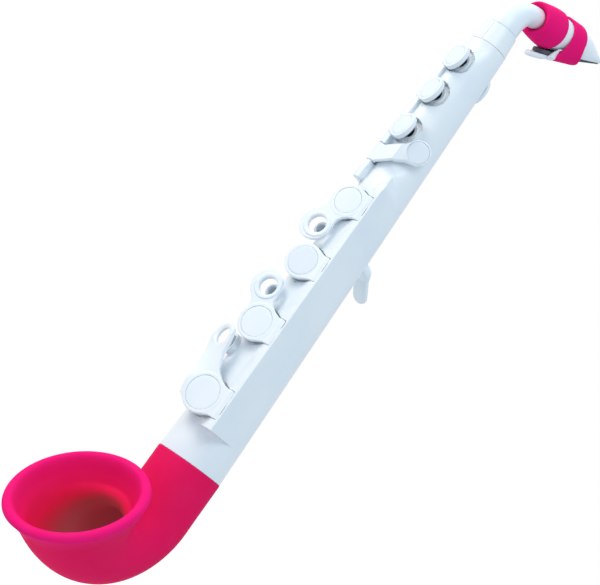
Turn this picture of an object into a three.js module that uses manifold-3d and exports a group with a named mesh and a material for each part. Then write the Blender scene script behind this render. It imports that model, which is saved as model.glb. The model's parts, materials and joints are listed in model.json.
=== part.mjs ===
// A small moulded saxophone: a conical tube with sprung keys on two rails, a soft bell and a reed mouthpiece.
// Millimetres, +Z up the tube, -Y the front with the keys, +X the player's left.
import * as THREE from 'three';
import { mergeVertices } from 'three/addons/utils/BufferGeometryUtils.js';
import Module from 'manifold-3d';

const wasm = await Module();
wasm.setup();

// Clearances
const GAP = 0.3; // between two pieces that seat on each other
const PAD_GAP = 0.15; // between a closed pad and the rim of its tone hole
const OVERCUT = 1; // how far a cutter runs past the face that it opens
const MESH_TOLERANCE = 0.05; // by how much a joined or cut face may be redrawn with fewer triangles

// Conical body tube, measured from the seam with the bell
const TUBE_LENGTH = 318;
const TUBE_LOW_RADIUS = 22;
const TUBE_TOP_RADIUS = 12.6;
const BORE_LOW_RADIUS = 17.6;
const BORE_TOP_RADIUS = 7.4;
const TUBE_SIDES = 32;

// Push fits at the two ends of the tube
const TENON_LENGTH = 18;
const TENON_RADIUS = 19.6;
const SPIGOT_LENGTH = 6;
const SPIGOT_WALL = 2.2;

// Bell: a sleeve, a bend that turns up and forward, and a flared mouth with a round lip
const BELL_SLEEVE_RADIUS = 22.4;
const BELL_SLEEVE_LENGTH = 34;
const BELL_BEND_RADIUS = 33.8;
const BELL_TURN_DEG = 127.3;
const BELL_MOUTH_LENGTH = 14.8;
const BELL_RIM_RADIUS = 43;
const BELL_WALL = 4.2;
const BELL_LIP = 3.3;
const BELL_LIP_FLAT = 0.8;
const BELL_FLARE = 4; // how sharply the radius grows towards the rim
const BELL_BEND_STEPS = 8;
const BELL_SIDES = 28;

// Collar, neck and its seal
const COLLAR_LENGTH = 14.8;
const COLLAR_TOP_RADIUS = 11.2;
const COLLAR_RIB_WIDTH = 0.9;
const COLLAR_RIB_HEIGHT = 0.5;
const COLLAR_RIB_SPACING = 2.2;
const NECK_LOW_RADIUS = 10.5;
const NECK_END_RADIUS = 6.9;
const NECK_BEND_RADIUS = 24.8;
const NECK_TURN_DEG = 75;
const NECK_PLUG_RADIUS = 8.2;
const NECK_PLUG_LENGTH = 7.4;
const NECK_TENON_RADIUS = 6.5;
const NECK_TENON_LENGTH = 22;
const NECK_BORE_RADIUS = 4.8;
const NECK_SIDES = 20;
const NECK_STEPS = 7;
const SEAL_RADIUS = 0.35;
const SEAL_GROOVE_DEPTH = 0.8;
const SEAL_SIDES = 6;

// Mouthpiece, lengths from the rim of its sleeve towards the tip
const MOUTHPIECE_LENGTH = 78;
const MOUTHPIECE_RADIUS = 11.6;
const SHANK_WALL = 2.4;
const SLEEVE_LENGTH = 21.3;
const SLEEVE_RIM_RADIUS = 11.4;
const SLEEVE_FAR_RADIUS = 13.6;
const SLEEVE_ROUND = 1.2; // rounding of the rim
const SLEEVE_FUNNEL = 4.6; // depth of the open rim around the neck
const SLEEVE_LIP = 1.6; // thickness of the lip that grips the neck
const BEAK_START = 50;
const BEAK_CURVE = 1.7; // how late the top of the beak falls
const BEAK_STEPS = 6;
const TIP_HALF_WIDTH = 8;
const TIP_THICKNESS = 0.9;
const TIP_DROP = 1.3;
const TABLE_SINK = 0.25; // how far the table lies inside the sleeve's radius at the sleeve's end
const CHAMBER_RADIUS = 5.4;
const CHAMBER_END = 46;
const WINDOW_HALF_WIDTH = 4.6;
const WINDOW_START = 40;
const WINDOW_END = 73;
const WINDOW_DEPTH = 5;
const MOUTHPIECE_SIDES = 24;

// Reed, the clip under it and the soft band around both
const REED_HEEL = 17;
const REED_HALF_WIDTH = 6.3;
const REED_THICKNESS = 2.7;
const REED_TIP_THICKNESS = 0.5;
const REED_VAMP_START = 50;
const REED_HEEL_ROUND = 5.5;
const REED_TIP_ROUND = 3;
const CLIP_TAB_END = 10;
const CLIP_THICKNESS = 2.6;
const CLIP_END_THICKNESS = 0.9;
const CLIP_TAPER_END = 31;
const CLIP_TAB_ROUND = 5;
const CLIP_HALF_WIDTH = 5.4;
const CLIP_END = 44;
const CLIP_ARM_START = SLEEVE_LENGTH + GAP;
const CLIP_ARM_LENGTH = 5;
const CLIP_ARM_WALL = 1.8;
const CLIP_ARM_DEGS = [70, 55, 40]; // where the arms touch the mouthpiece, from its underside
const BAND_WALL = 1.5;
const BAND_FOOT = 6.2; // half the width of the band's flat underside
const BAND_START = 29.6;
const BAND_START_SKEW = -0.13;
const BAND_END = 45.6;
const BAND_END_BULGE = 0.042; // how strongly the far edge runs towards the tip below
const BAND_END_CUT = 4; // how far its opening is cut past that edge
const BAND_STEPS = 12;

// Keys: both rails carry hubs on a rod, and every tone hole lies on the front of the tube
const ROD_RADIUS = 1.0;
const HUB_BORE_RADIUS = ROD_RADIUS + GAP;
const PLATE_THICKNESS = 2.6;
const PAD_THICKNESS = 2.0;
const PAD_INSET = 1.6;
const SEAT_INSET = 1.4;
const SEAT_WALL = 1.4;
const INLAY_DEPTH = 0.9;
const RECESS_MARGIN = 0.8;
const SWING_MARGIN = 0.7;
const DISC_SIDES = 20;
const HUB_SIDES = 18;
const HOLE_SIDES = 12;
const BORE_SIDES = 12;
const WIRE_HOLE_SIDES = 8;

// Right-hand rail: a flat wall level with the side of the tube
const RIGHT_RAIL_LOW = 0.0692 * TUBE_LENGTH;
const RIGHT_RAIL_HIGH = 0.6258 * TUBE_LENGTH;
const RIGHT_RAMP_END = 0.6824 * TUBE_LENGTH;
const RIGHT_RAMP_EDGE = -4;
const RIGHT_HINGE_INSET = 4.6;
const RIGHT_HINGE_HEIGHT = 2.6;
const RIGHT_HUB_RADIUS = 2.9;
const RIGHT_OPEN_DEG = 11;
const RIGHT_RECESS = 1.0;
const RAIL_CHAMFER = 0.9;

// Left-hand rail: a round ridge
const LEFT_RAIL_LOW = 0.6478 * TUBE_LENGTH;
const LEFT_RAIL_HIGH = 0.9717 * TUBE_LENGTH;
const LEFT_RAMP_LENGTH = 11;
const LEFT_HINGE_INSET = 5.6;
const LEFT_HINGE_HEIGHT = 1.0;
const LEFT_HUB_RADIUS = 3.0;
const LEFT_RIDGE_RADIUS = 3.2;
const LEFT_PLATE_TOP = 3.6;
const LEFT_OPEN_DEG = 18;
const LEFT_RECESS = 2.4;
const LEFT_HUB_LENGTH = 12.4;
const LEFT_DISC_RADIUS = 9;
const LEFT_INLAY_RADIUS = 7.2;
const LEFT_KEY_HEIGHTS = [0.939, 0.8557, 0.7648].map((share) => share * TUBE_LENGTH);

// Right-hand keys: a cup over a hole and for some a finger ring beside it, as shares of the tube's length
const RIGHT_KEYS = [
  {
    name: 'right_key_1', height: 0.5805, cup: 0.0343, inlay: 0.0274, hub: 0.0535,
    ring: { radius: 0.0314, across: 0.0679, along: -0.0714, drop: 0, turn: 0 },
  },
  { name: 'right_key_2', height: 0.4358, cup: 0.0371, inlay: 0.0302, hub: 0.0535 },
  {
    name: 'right_key_3', height: 0.2893, cup: 0.0384, inlay: 0.0314, hub: 0.0553,
    ring: { radius: 0.0314, across: 0.0761, along: 0.0714, drop: 0, turn: 0 },
  },
  {
    name: 'right_key_4', height: 0.122, cup: 0.0415, inlay: 0.0346, hub: 0.0613,
    ring: { radius: 0.0277, across: 0.095, along: 0.1132, drop: 0.0063, turn: 30 },
  },
];
const RING_EDGE = 1.5; // flat edge outside the dish of a ring
const RING_HOLE_RADIUS = 0.0176 * TUBE_LENGTH;
const RING_DISH_DEPTH = 1.0;
const RING_WEB_HALF_WIDTH = 5.5;
const RING_POST_RADIUS = RING_HOLE_RADIUS - 3 * GAP;
const RING_POST_HOLE_RADIUS = 3.2;
const RING_POST_ENTRY = 0.4; // how far a post stands in the ring of a closed key

// Side lever: a closed key worked by a touch on the player's left
const LEVER_CLEARANCE = 12.7; // from the edge of the key above it
const LEVER_HEIGHT = LEFT_KEY_HEIGHTS[2] - LEFT_DISC_RADIUS - LEVER_CLEARANCE;
const LEVER_HUB_LENGTH = 13;
const LEVER_RIDGE_ACROSS = 17;
const LEVER_RIDGE_RISE = 4.6;
const LEVER_RIDGE_ALONG = -6;
const LEVER_RIDGE_LEAN_DEG = 18;
const LEVER_RIDGE_HALF_WIDTH = 6.3;
const LEVER_TOUCH_ACROSS = 24.4;
const LEVER_TOUCH_RISE = -2.8;
const LEVER_TOUCH_ALONG = -12.7;
const LEVER_TOUCH_DEG = 41.8;
const LEVER_TOUCH_RADIUS = 8.1;
const LEVER_INLAY_RADIUS = 7;
const LEVER_PAD_AZIMUTH_DEG = 72;
const LEVER_PAD_RADIUS = 5;
const LEVER_SEAT_RADIUS = 3.8;
const LEVER_VENT_RADIUS = 2.4;

// Thumb key on the back: a closed see-saw lever between two lugs
const THUMB_KEY_HEIGHT = LEFT_KEY_HEIGHTS[0] - 0.0066 * TUBE_LENGTH;
const THUMB_KEY_HUB_LENGTH = 19.2;
const THUMB_KEY_HUB_RADIUS = 3;
const THUMB_KEY_HINGE_OFFSET = 3;
const THUMB_KEY_HINGE_RISE = 2;
const THUMB_KEY_TOUCH_ACROSS = 3.8;
const THUMB_KEY_TOUCH_HALF_WIDTH = 5.2;
const THUMB_KEY_TOUCH_HALF_LENGTH = 9.5;
const THUMB_KEY_PAD_AZIMUTH_DEG = 50;
const THUMB_KEY_PAD_RADIUS = 3.8;
const THUMB_KEY_SEAT_RADIUS = 2.6;
const THUMB_KEY_VENT_RADIUS = 1.2;

// The pad end of both see-saw levers
const SEESAW_PAD_THICKNESS = 1.6;
const SEESAW_CUP_EDGE = 0.6;
const SEESAW_CUP_THICKNESS = 1.6;
const SEESAW_SEAT_HEIGHT = 0.8;
const SEESAW_ARM_HALF_WIDTH = 3;
const SEESAW_ARM_THICKNESS = 2.4;
const LUG_THICKNESS = 2.2;
const LUG_RADIUS = 3;

// Thumb hook on the back, for the right thumb, and its screw
const HOOK_HEIGHT = 0.4969 * TUBE_LENGTH; // the flat underside that rests on the thumb
const HOOK_HALF_WIDTH = 5.4;
const HOOK_BASE_HALF_WIDTH = 4;
const HOOK_BASE_BELOW = 3;
const HOOK_BASE_ABOVE = 14;
const HOOK_BASE_THICKNESS = 2;
const HOOK_FLAT = 6.5;
const HOOK_ARM_THICKNESS = 4;
const HOOK_TONGUE_LENGTH = 19.5;
const HOOK_TONGUE_THICKNESS = 2.8;
const HOOK_TONGUE_ROOT = 2;
const HOOK_TONGUE_DEG = 45;
const HOOK_BOSS_MARGIN = 0.6;
const HOOK_BOSS_RISE = 0.8;
const HOOK_SCREW_ABOVE = 9;
const HOOK_SCREW_RADIUS = 1.4;
const HOOK_SCREW_GRIP = 2.6;
const HOOK_SCREW_HEAD_RADIUS = 2.8;
const HOOK_SCREW_HEAD = 1.6;
const SLOT_WIDTH = 0.6;
const SLOT_DEPTH = 0.7;

// Springs: a coil on the rod in a bore at one end of each hub, with its two ends turned along the rod
const SPRING_ROOM = 3.6;
const SPRING_WIRE_RADIUS = 0.3;
const SPRING_COIL_RADIUS = 1.6;
const SPRING_TURNS = 2;
const SPRING_PITCH = 1.2;
const SPRING_TANG = 1.4;
const SPRING_LEAD = 0.5; // from the floor of the bore to the first turn
const SPRING_STEPS = 6;
const SPRING_SIDES = 4;

// Finishes
const WHITE = { color: 0xdfe9f1, roughness: 0.34, metalness: 0 };
const GLOSS_WHITE = { color: 0xe4edf4, roughness: 0.15, metalness: 0 };
const PINK = { color: 0xe0186f, roughness: 0.6, metalness: 0 };
const CHARCOAL = { color: 0x3c404c, roughness: 0.55, metalness: 0 };
const GREY_PAD = { color: 0x4a4d54, roughness: 0.8, metalness: 0 };
const STEEL = { color: 0xb9bdc2, roughness: 0.3, metalness: 1 };

// Taper of the tube and the sizes that follow from it
const TAPER = (TUBE_LOW_RADIUS - TUBE_TOP_RADIUS) / TUBE_LENGTH;
const BORE_TAPER = (BORE_LOW_RADIUS - BORE_TOP_RADIUS) / TUBE_LENGTH;
const NECK_SEAM = TUBE_LENGTH + COLLAR_LENGTH;
const rad = THREE.MathUtils.degToRad;

function tubeRadius(height) {
  return TUBE_LOW_RADIUS - TAPER * height;
}

function boreRadius(height) {
  return BORE_LOW_RADIUS - BORE_TAPER * height;
}

// Solids and their joins and cuts

function solid(geometry) {
  const bare = geometry.clone();
  bare.deleteAttribute('normal');
  bare.deleteAttribute('uv');
  const merged = mergeVertices(bare, 1e-4);
  const vertProperties = new Float32Array(merged.attributes.position.array);
  const triVerts = new Uint32Array(merged.index.array);
  return new wasm.Manifold(new wasm.Mesh({ numProp: 3, vertProperties, triVerts }));
}

function geometryOf(manifold) {
  const mesh = manifold.simplify(MESH_TOLERANCE).getMesh();
  const geometry = new THREE.BufferGeometry();
  geometry.setAttribute('position', new THREE.BufferAttribute(new Float32Array(mesh.vertProperties), 3));
  geometry.setIndex(new THREE.BufferAttribute(new Uint32Array(mesh.triVerts), 1));
  geometry.computeVertexNormals();
  return geometry;
}

function join(geometries) {
  return geometries.map(solid).reduce((sum, next) => sum.add(next));
}

function cut(base, cutters) {
  return cutters.map(solid).reduce((left, next) => left.subtract(next), base);
}

// Shapes

// A drum along Y, from one height to another.
function drum(radius, low, high, sides = DISC_SIDES, topRadius = radius) {
  const geometry = new THREE.CylinderGeometry(topRadius, radius, high - low, sides);
  return geometry.translate(0, (low + high) / 2, 0);
}

// A drum along Z.
function shaft(radius, low, high, sides = DISC_SIDES, topRadius = radius) {
  return drum(radius, low, high, sides, topRadius).rotateX(Math.PI / 2);
}

function block(low, high) {
  const size = high.map((value, axis) => value - low[axis]);
  const geometry = new THREE.BoxGeometry(...size);
  return geometry.translate(...low.map((value, axis) => value + size[axis] / 2));
}

// A flat plate: an outline across and along the hinge, from one height over the hinge to another.
function plate(points, low, high) {
  const shape = new THREE.Shape(points.map(([across, along]) => new THREE.Vector2(across, along)));
  const geometry = new THREE.ExtrudeGeometry(shape, { depth: high - low, bevelEnabled: false });
  return geometry.rotateX(Math.PI / 2).translate(0, high, 0);
}

// A profile in Y and Z, drawn out along X to both sides.
function sideProfile(points, halfWidth) {
  const shape = new THREE.Shape(points.map(([y, z]) => new THREE.Vector2(y, z)));
  const geometry = new THREE.ExtrudeGeometry(shape, { depth: 2 * halfWidth, bevelEnabled: false });
  geometry.translate(0, 0, -halfWidth);
  return geometry.applyMatrix4(new THREE.Matrix4().set(0, 0, 1, 0, 1, 0, 0, 0, 0, 1, 0, 0, 0, 0, 0, 1));
}

// A turned piece on the Z axis, from a closed profile of radius and height.
function turned(profile, sides = TUBE_SIDES) {
  const points = [...profile, profile[0]].map(([radius, height]) => new THREE.Vector2(radius, height));
  const geometry = new THREE.LatheGeometry(points, sides).rotateX(Math.PI / 2);
  return signedVolume(geometry) < 0 ? flipped(geometry) : geometry;
}

function signedVolume(geometry) {
  const position = geometry.attributes.position;
  const corner = [new THREE.Vector3(), new THREE.Vector3(), new THREE.Vector3()];
  let sum = 0;
  for (let i = 0; i < geometry.index.count; i += 3) {
    corner.forEach((point, k) => point.fromBufferAttribute(position, geometry.index.getX(i + k)));
    sum += corner[0].dot(corner[1].clone().cross(corner[2])) / 6;
  }
  return sum;
}

function flipped(geometry) {
  const index = Array.from(geometry.index.array);
  for (let i = 0; i < index.length; i += 3) {
    [index[i], index[i + 1]] = [index[i + 1], index[i]];
  }
  geometry.setIndex(index);
  return geometry;
}

// A skin over a row of rings with equally many points, closed by a flat cap at each end.
function loft(rings) {
  const count = rings[0].length;
  const index = [];
  for (let ring = 0; ring + 1 < rings.length; ring += 1) {
    for (let k = 0; k < count; k += 1) {
      const next = (k + 1) % count;
      const a = ring * count + k;
      const b = ring * count + next;
      index.push(a, b, b + count, a, b + count, a + count);
    }
  }
  const last = (rings.length - 1) * count;
  for (const [a, b, c] of capTriangles(rings[0])) {
    index.push(a, c, b);
  }
  for (const [a, b, c] of capTriangles(rings[rings.length - 1])) {
    index.push(last + a, last + b, last + c);
  }
  const geometry = new THREE.BufferGeometry().setFromPoints(rings.flat());
  geometry.setIndex(index);
  return signedVolume(geometry) < 0 ? flipped(geometry) : geometry;
}

function capTriangles(ring) {
  const normal = new THREE.Vector3();
  ring.forEach((point, k) => normal.add(point.clone().cross(ring[(k + 1) % ring.length])));
  normal.normalize();
  const side = ring[1].clone().sub(ring[0]).normalize();
  const up = normal.clone().cross(side);
  const flat = ring.map((point) => new THREE.Vector2(point.dot(side), point.dot(up)));
  return THREE.ShapeUtils.triangulateShape(flat, []);
}

// A round ring of points about a place, square to a direction that lies in the YZ plane.
function roundRing(place, direction, radius, sides) {
  const sideways = new THREE.Vector3(1, 0, 0);
  const across = direction.clone().cross(sideways);
  return Array.from({ length: sides }, (_, k) => {
    const angle = (2 * Math.PI * k) / sides;
    return place.clone()
      .addScaledVector(sideways, radius * Math.cos(angle))
      .addScaledVector(across, radius * Math.sin(angle));
  });
}

function smoothBetween(from, to, share) {
  return from + (to - from) * THREE.MathUtils.smoothstep(share, 0, 1);
}

// The parts are collected here
const instrument = new THREE.Group();

function addMesh(parent, name, shape, finish) {
  const geometry = shape.isBufferGeometry ? shape : geometryOf(shape);
  const mesh = new THREE.Mesh(geometry, new THREE.MeshStandardMaterial(finish));
  mesh.name = name;
  parent.add(mesh);
  return mesh;
}

function groupAt(matrix, parent = instrument) {
  const group = new THREE.Group();
  group.applyMatrix4(matrix);
  parent.add(group);
  return group;
}

// Hinge frames: first axis across the tube from the hinge, second outward to the front, third along the rod

function hingeFrame(side, height) {
  const inset = side === 'left' ? LEFT_HINGE_INSET : RIGHT_HINGE_INSET;
  const rise = side === 'left' ? LEFT_HINGE_HEIGHT : RIGHT_HINGE_HEIGHT;
  const sign = side === 'left' ? -1 : 1;
  const radius = tubeRadius(height);
  const along = new THREE.Vector3(-sign * TAPER, TAPER, 1).normalize().multiplyScalar(sign);
  const across = new THREE.Vector3(-sign, 0, -TAPER).normalize();
  const outward = along.clone().cross(across);
  const matrix = new THREE.Matrix4().makeBasis(across, outward, along);
  return matrix.setPosition(sign * (radius - inset), -(radius + rise), height);
}

function placed(geometry, matrix) {
  return geometry.clone().applyMatrix4(matrix);
}

// One description for every key on a rail, in its hinge frame
function keyPlan({ name, side, height, cup, inlay, hub, ring }) {
  const left = side === 'left';
  const reach = tubeRadius(height) - (left ? LEFT_HINGE_INSET : RIGHT_HINGE_INSET);
  const top = left ? LEFT_PLATE_TOP : RIGHT_HUB_RADIUS;
  const low = top - PLATE_THICKNESS;
  const padFace = low - GAP - PAD_THICKNESS;
  const hubRadius = left ? LEFT_HUB_RADIUS : RIGHT_HUB_RADIUS;
  return {
    name,
    side,
    height,
    cup,
    inlay,
    hub,
    ring,
    reach,
    top,
    low,
    padFace,
    seat: padFace - PAD_GAP,
    hubRadius,
    pad: Math.min(cup - PAD_INSET, reach - hubRadius - GAP),
    open: rad(left ? LEFT_OPEN_DEG : RIGHT_OPEN_DEG),
    recess: left ? LEFT_RECESS : RIGHT_RECESS,
    frame: hingeFrame(side, height),
  };
}

// A key's shares of the tube's length as sizes
function onTube(key) {
  const sizes = Object.entries(key).map(([word, value]) => {
    if (word === 'ring') {
      return [word, onTube(value)];
    }
    return [word, typeof value === 'number' && word !== 'turn' ? value * TUBE_LENGTH : value];
  });
  return Object.fromEntries(sizes);
}

const KEYS = [
  ...LEFT_KEY_HEIGHTS.map((height, k) => keyPlan({
    name: `left_key_${k + 1}`,
    side: 'left',
    height,
    cup: LEFT_DISC_RADIUS,
    inlay: LEFT_INLAY_RADIUS,
    hub: LEFT_HUB_LENGTH,
  })),
  ...RIGHT_KEYS.map((key) => keyPlan({ side: 'right', ...onTube(key) })),
];

// The finger ring of a key lies in its own frame, turned towards the tube about a line along the rod
function ringFrame(key) {
  const turn = new THREE.Matrix4().makeRotationZ(-rad(key.ring.turn));
  return turn.setPosition(key.ring.across, key.top - key.ring.drop, key.ring.along);
}

// The web from cup to ring, which twists with the ring
function ringWeb(key) {
  const cup = new THREE.Vector2(key.reach, 0);
  const run = new THREE.Vector2(key.ring.across, key.ring.along).sub(cup).normalize();
  const from = cup.addScaledVector(run, key.pad + GAP);
  const side = new THREE.Vector2(-run.y, run.x).multiplyScalar(RING_WEB_HALF_WIDTH);
  const section = (top) => [[1, top], [-1, top], [-1, top - PLATE_THICKNESS], [1, top - PLATE_THICKNESS]]
    .map(([sign, rise]) => new THREE.Vector3(sign * side.x, rise, sign * side.y));
  const atCup = section(key.top).map((point) => point.add(new THREE.Vector3(from.x, 0, from.y)));
  const atRing = section(0).map((point) => point.applyMatrix4(ringFrame(key)));
  return loft([atCup, atRing]);
}

// The cup of a key and its arm to the hub, grown by a margin where they are used as a cutter
function keyPlate(key, margin, low, high) {
  const arm = key.hub / 2 + margin;
  return [
    drum(key.cup + margin, low, high).translate(key.reach, 0, 0),
    plate([[0, -arm], [key.reach, -arm], [key.reach, arm], [0, arm]], low, high),
  ];
}

// Springs

function onCoil(angle, rise) {
  return new THREE.Vector3(SPRING_COIL_RADIUS * Math.cos(angle), SPRING_COIL_RADIUS * Math.sin(angle), rise);
}

// A coil in the bore of a hub; its first end enters the hub and its last end the wall beside the hub
function springCoil(hubEnd) {
  const start = hubEnd - SPRING_ROOM + SPRING_LEAD - SPRING_TANG;
  const rings = [];
  const steps = Math.round(SPRING_TURNS * SPRING_STEPS);
  const centreAt = (step) => {
    const angle = (2 * Math.PI * step) / SPRING_STEPS;
    const rise = start + SPRING_TANG + (SPRING_PITCH * step) / SPRING_STEPS;
    return onCoil(angle, rise);
  };
  const centres = Array.from({ length: steps + 1 }, (_, step) => centreAt(step));
  const first = centres[0].clone();
  const last = centres[steps].clone();
  first.z -= SPRING_TANG;
  last.z += SPRING_TANG;
  const path = [first, ...centres, last];
  path.forEach((place, k) => {
    const before = path[Math.max(k - 1, 0)];
    const after = path[Math.min(k + 1, path.length - 1)];
    const direction = after.clone().sub(before).normalize();
    const outward = new THREE.Vector3(place.x, place.y, 0).normalize();
    outward.addScaledVector(direction, -outward.dot(direction)).normalize();
    const across = direction.clone().cross(outward);
    rings.push(Array.from({ length: SPRING_SIDES }, (_, n) => {
      const angle = (2 * Math.PI * n) / SPRING_SIDES;
      return place.clone()
        .addScaledVector(outward, SPRING_WIRE_RADIUS * Math.cos(angle))
        .addScaledVector(across, SPRING_WIRE_RADIUS * Math.sin(angle));
    }));
  });
  return loft(rings);
}

// Body tube with both rails, tone holes and the seats of what is fixed to it

function rightRailRing(height, rise, inner) {
  const radius = tubeRadius(height);
  const top = -(radius + rise);
  const side = [[radius, 0], [radius, top + RAIL_CHAMFER], [radius - RAIL_CHAMFER, top]];
  return [...side, ...inner(radius, top)].map(([x, y]) => new THREE.Vector3(x, y, height));
}

// The inside of the rail curves down from its top to the front of the tube
function railFillet(radius, top) {
  const hinge = radius - RIGHT_HINGE_INSET;
  const reach = RIGHT_HUB_RADIUS + GAP;
  return [
    [hinge + GAP, top],
    [hinge - 0.6 * reach, top + 0.45 * reach],
    [hinge - 1.4 * reach, top + 1.25 * reach],
    [hinge - 2.6 * reach, -(radius - GAP)],
    [0, -(radius - 2 * GAP)],
    [0, 0],
  ];
}

function rampEdge(radius, top) {
  return [[RIGHT_RAMP_EDGE, top], [RIGHT_RAMP_EDGE, 0]];
}

function rightRail() {
  const rise = RIGHT_HINGE_HEIGHT + RIGHT_HUB_RADIUS;
  const ends = [RIGHT_RAIL_LOW, RIGHT_RAIL_HIGH];
  const wall = loft(ends.map((height) => rightRailRing(height, rise, railFillet)));
  const ramp = loft([
    rightRailRing(RIGHT_RAIL_HIGH - OVERCUT, rise, rampEdge),
    rightRailRing(RIGHT_RAMP_END, -RAIL_CHAMFER, rampEdge),
  ]);
  return [wall, ramp];
}

function leftRailRing(height, sink) {
  const radius = tubeRadius(height);
  const x = -(radius - LEFT_HINGE_INSET);
  const y = -(radius + LEFT_HINGE_HEIGHT) + sink;
  const ridge = [0, 30, 60, 90, 120, 150].map((deg) => [
    x - LEFT_RIDGE_RADIUS * Math.cos(rad(deg)),
    y - LEFT_RIDGE_RADIUS * Math.sin(rad(deg)),
  ]);
  const inside = x + LEFT_RIDGE_RADIUS * Math.cos(rad(30));
  const foot = [[inside, 0], [-0.9 * radius, 0], [-0.95 * radius, -0.3 * radius]];
  return [...ridge, ...foot].map(([px, py]) => new THREE.Vector3(px, py, height));
}

function leftRail() {
  const sunk = LEFT_RIDGE_RADIUS + LEFT_HINGE_HEIGHT + LEFT_HINGE_INSET;
  return loft([
    leftRailRing(LEFT_RAIL_LOW - LEFT_RAMP_LENGTH, sunk),
    leftRailRing(LEFT_RAIL_LOW, 0),
    leftRailRing(LEFT_RAIL_HIGH - LEFT_RIDGE_RADIUS, 0),
    leftRailRing(LEFT_RAIL_HIGH, sunk / 2),
  ]);
}

// Room in the rails and the tube wall for one key to swing
function keyRoom(key) {
  const hubEnd = key.hub / 2;
  const left = key.side === 'left';
  const room = [];
  if (left) {
    const side = LEFT_RIDGE_RADIUS + OVERCUT;
    room.push(block([-side, -LEFT_HUB_RADIUS - GAP, -hubEnd - GAP], [side, 3 * side, hubEnd + GAP]));
  } else {
    room.push(shaft(RIGHT_HUB_RADIUS + GAP, -hubEnd - GAP, hubEnd + GAP, HUB_SIDES));
    room.push(block([0, -GAP, -hubEnd - GAP], [key.reach, 2 * key.reach, hubEnd + GAP]));
  }
  room.push(...keyPlate(key, SWING_MARGIN, key.low - SWING_MARGIN, key.low + 2 * key.reach));
  const floor = key.seat - key.recess;
  room.push(drum(key.pad + RECESS_MARGIN, floor, key.low + key.reach, HUB_SIDES).translate(key.reach, 0, 0));
  return room.map((piece) => placed(piece, key.frame));
}

function keySeat(key) {
  const deep = key.seat - key.recess - SEAT_WALL;
  const tower = drum(key.pad - SEAT_INSET, deep, key.seat, HUB_SIDES);
  return placed(tower.translate(key.reach, 0, 0), key.frame);
}

function toneHole(key) {
  const radius = key.pad - SEAT_INSET - SEAT_WALL;
  const deep = -key.reach - RIGHT_HINGE_HEIGHT;
  const hole = drum(radius, deep, key.seat + OVERCUT, HOLE_SIDES);
  return placed(hole.translate(key.reach, 0, 0), key.frame);
}

// The post under a finger ring just enters the ring when the key is closed
function ringPost(key, radius, lift, deep) {
  const high = RING_POST_ENTRY - PLATE_THICKNESS + lift;
  const frame = key.frame.clone().multiply(ringFrame(key));
  return placed(drum(radius, -deep, high, HOLE_SIDES), frame);
}

function ringPostDepth(key) {
  return key.top + tubeRadius(key.height + key.ring.along) / 2;
}

// The hole in which the last end of a spring is held, in the wall beside the hub
function springSeat(hubEnd, frame) {
  return placed(tangHole(SPRING_TURNS * 2 * Math.PI, hubEnd, hubEnd + GAP + SPRING_TANG), frame);
}

// What is cut from a hub: the bore for its rod, and at one end the bore of the spring with a hole for its end
function hubCuts(hubEnd, tangAngle) {
  const floor = hubEnd - SPRING_ROOM;
  return [
    shaft(HUB_BORE_RADIUS, -2 * hubEnd, 2 * hubEnd, BORE_SIDES),
    shaft(SPRING_COIL_RADIUS + SPRING_WIRE_RADIUS + GAP, floor, hubEnd + OVERCUT, HOLE_SIDES),
    tangHole(tangAngle, floor - SPRING_TANG, floor + OVERCUT),
  ];
}

function tangHole(angle, low, high) {
  const hole = shaft(SPRING_WIRE_RADIUS + GAP, low, high, WIRE_HOLE_SIDES);
  return hole.translate(...onCoil(angle, 0).toArray());
}

// Both rods lie in the hinge frame of their side at the foot of the tube
const ROD_STRETCH = Math.hypot(1, TAPER, TAPER);

function rodShaft(side, radius, low, high) {
  const ends = side === 'left' ? [-high, -low] : [low, high];
  return shaft(radius, ends[0] * ROD_STRETCH, ends[1] * ROD_STRETCH, BORE_SIDES);
}

const RODS = [
  { side: 'left', low: LEFT_RAIL_LOW - LEFT_RIDGE_RADIUS, high: LEFT_RAIL_HIGH - LEFT_RIDGE_RADIUS },
  { side: 'right', low: RIGHT_RAIL_LOW, high: RIGHT_RAIL_HIGH + OVERCUT },
];

// See-saw levers: a hub on a rod, a touch on one side, and on the other an arm to a pad that closes a vent

function seesawPlan({ frame, height, hinge, azimuthDeg, hub, padRadius }) {
  const radius = tubeRadius(height);
  const padFrame = new THREE.Matrix4().makeRotationZ(rad(azimuthDeg)).setPosition(-hinge[0], -hinge[1], 0);
  const seat = radius + SEESAW_SEAT_HEIGHT;
  const face = seat + PAD_GAP;
  const cupLow = face + SEESAW_PAD_THICKNESS + GAP;
  const cupTop = cupLow + SEESAW_CUP_THICKNESS;
  const cupRadius = padRadius + SEESAW_CUP_EDGE;
  const elbowReach = cupRadius + SWING_MARGIN;
  const elbow = new THREE.Vector3(elbowReach, (cupLow + cupTop) / 2, 0).applyMatrix4(padFrame);
  const armFrame = new THREE.Matrix4().makeRotationZ(Math.atan2(elbow.y, elbow.x));
  const armLength = Math.hypot(elbow.x, elbow.y);
  return {
    frame,
    radius,
    padFrame,
    seat,
    face,
    cupLow,
    cupTop,
    cupRadius,
    padRadius,
    elbowReach,
    armFrame,
    armLength,
    hubEnd: hub / 2,
  };
}

const LEVER = seesawPlan({
  frame: hingeFrame('left', LEVER_HEIGHT),
  height: LEVER_HEIGHT,
  hinge: [LEFT_HINGE_INSET - tubeRadius(LEVER_HEIGHT), LEFT_HINGE_HEIGHT + tubeRadius(LEVER_HEIGHT)],
  azimuthDeg: LEVER_PAD_AZIMUTH_DEG,
  hub: LEVER_HUB_LENGTH,
  padRadius: LEVER_PAD_RADIUS,
});

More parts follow.
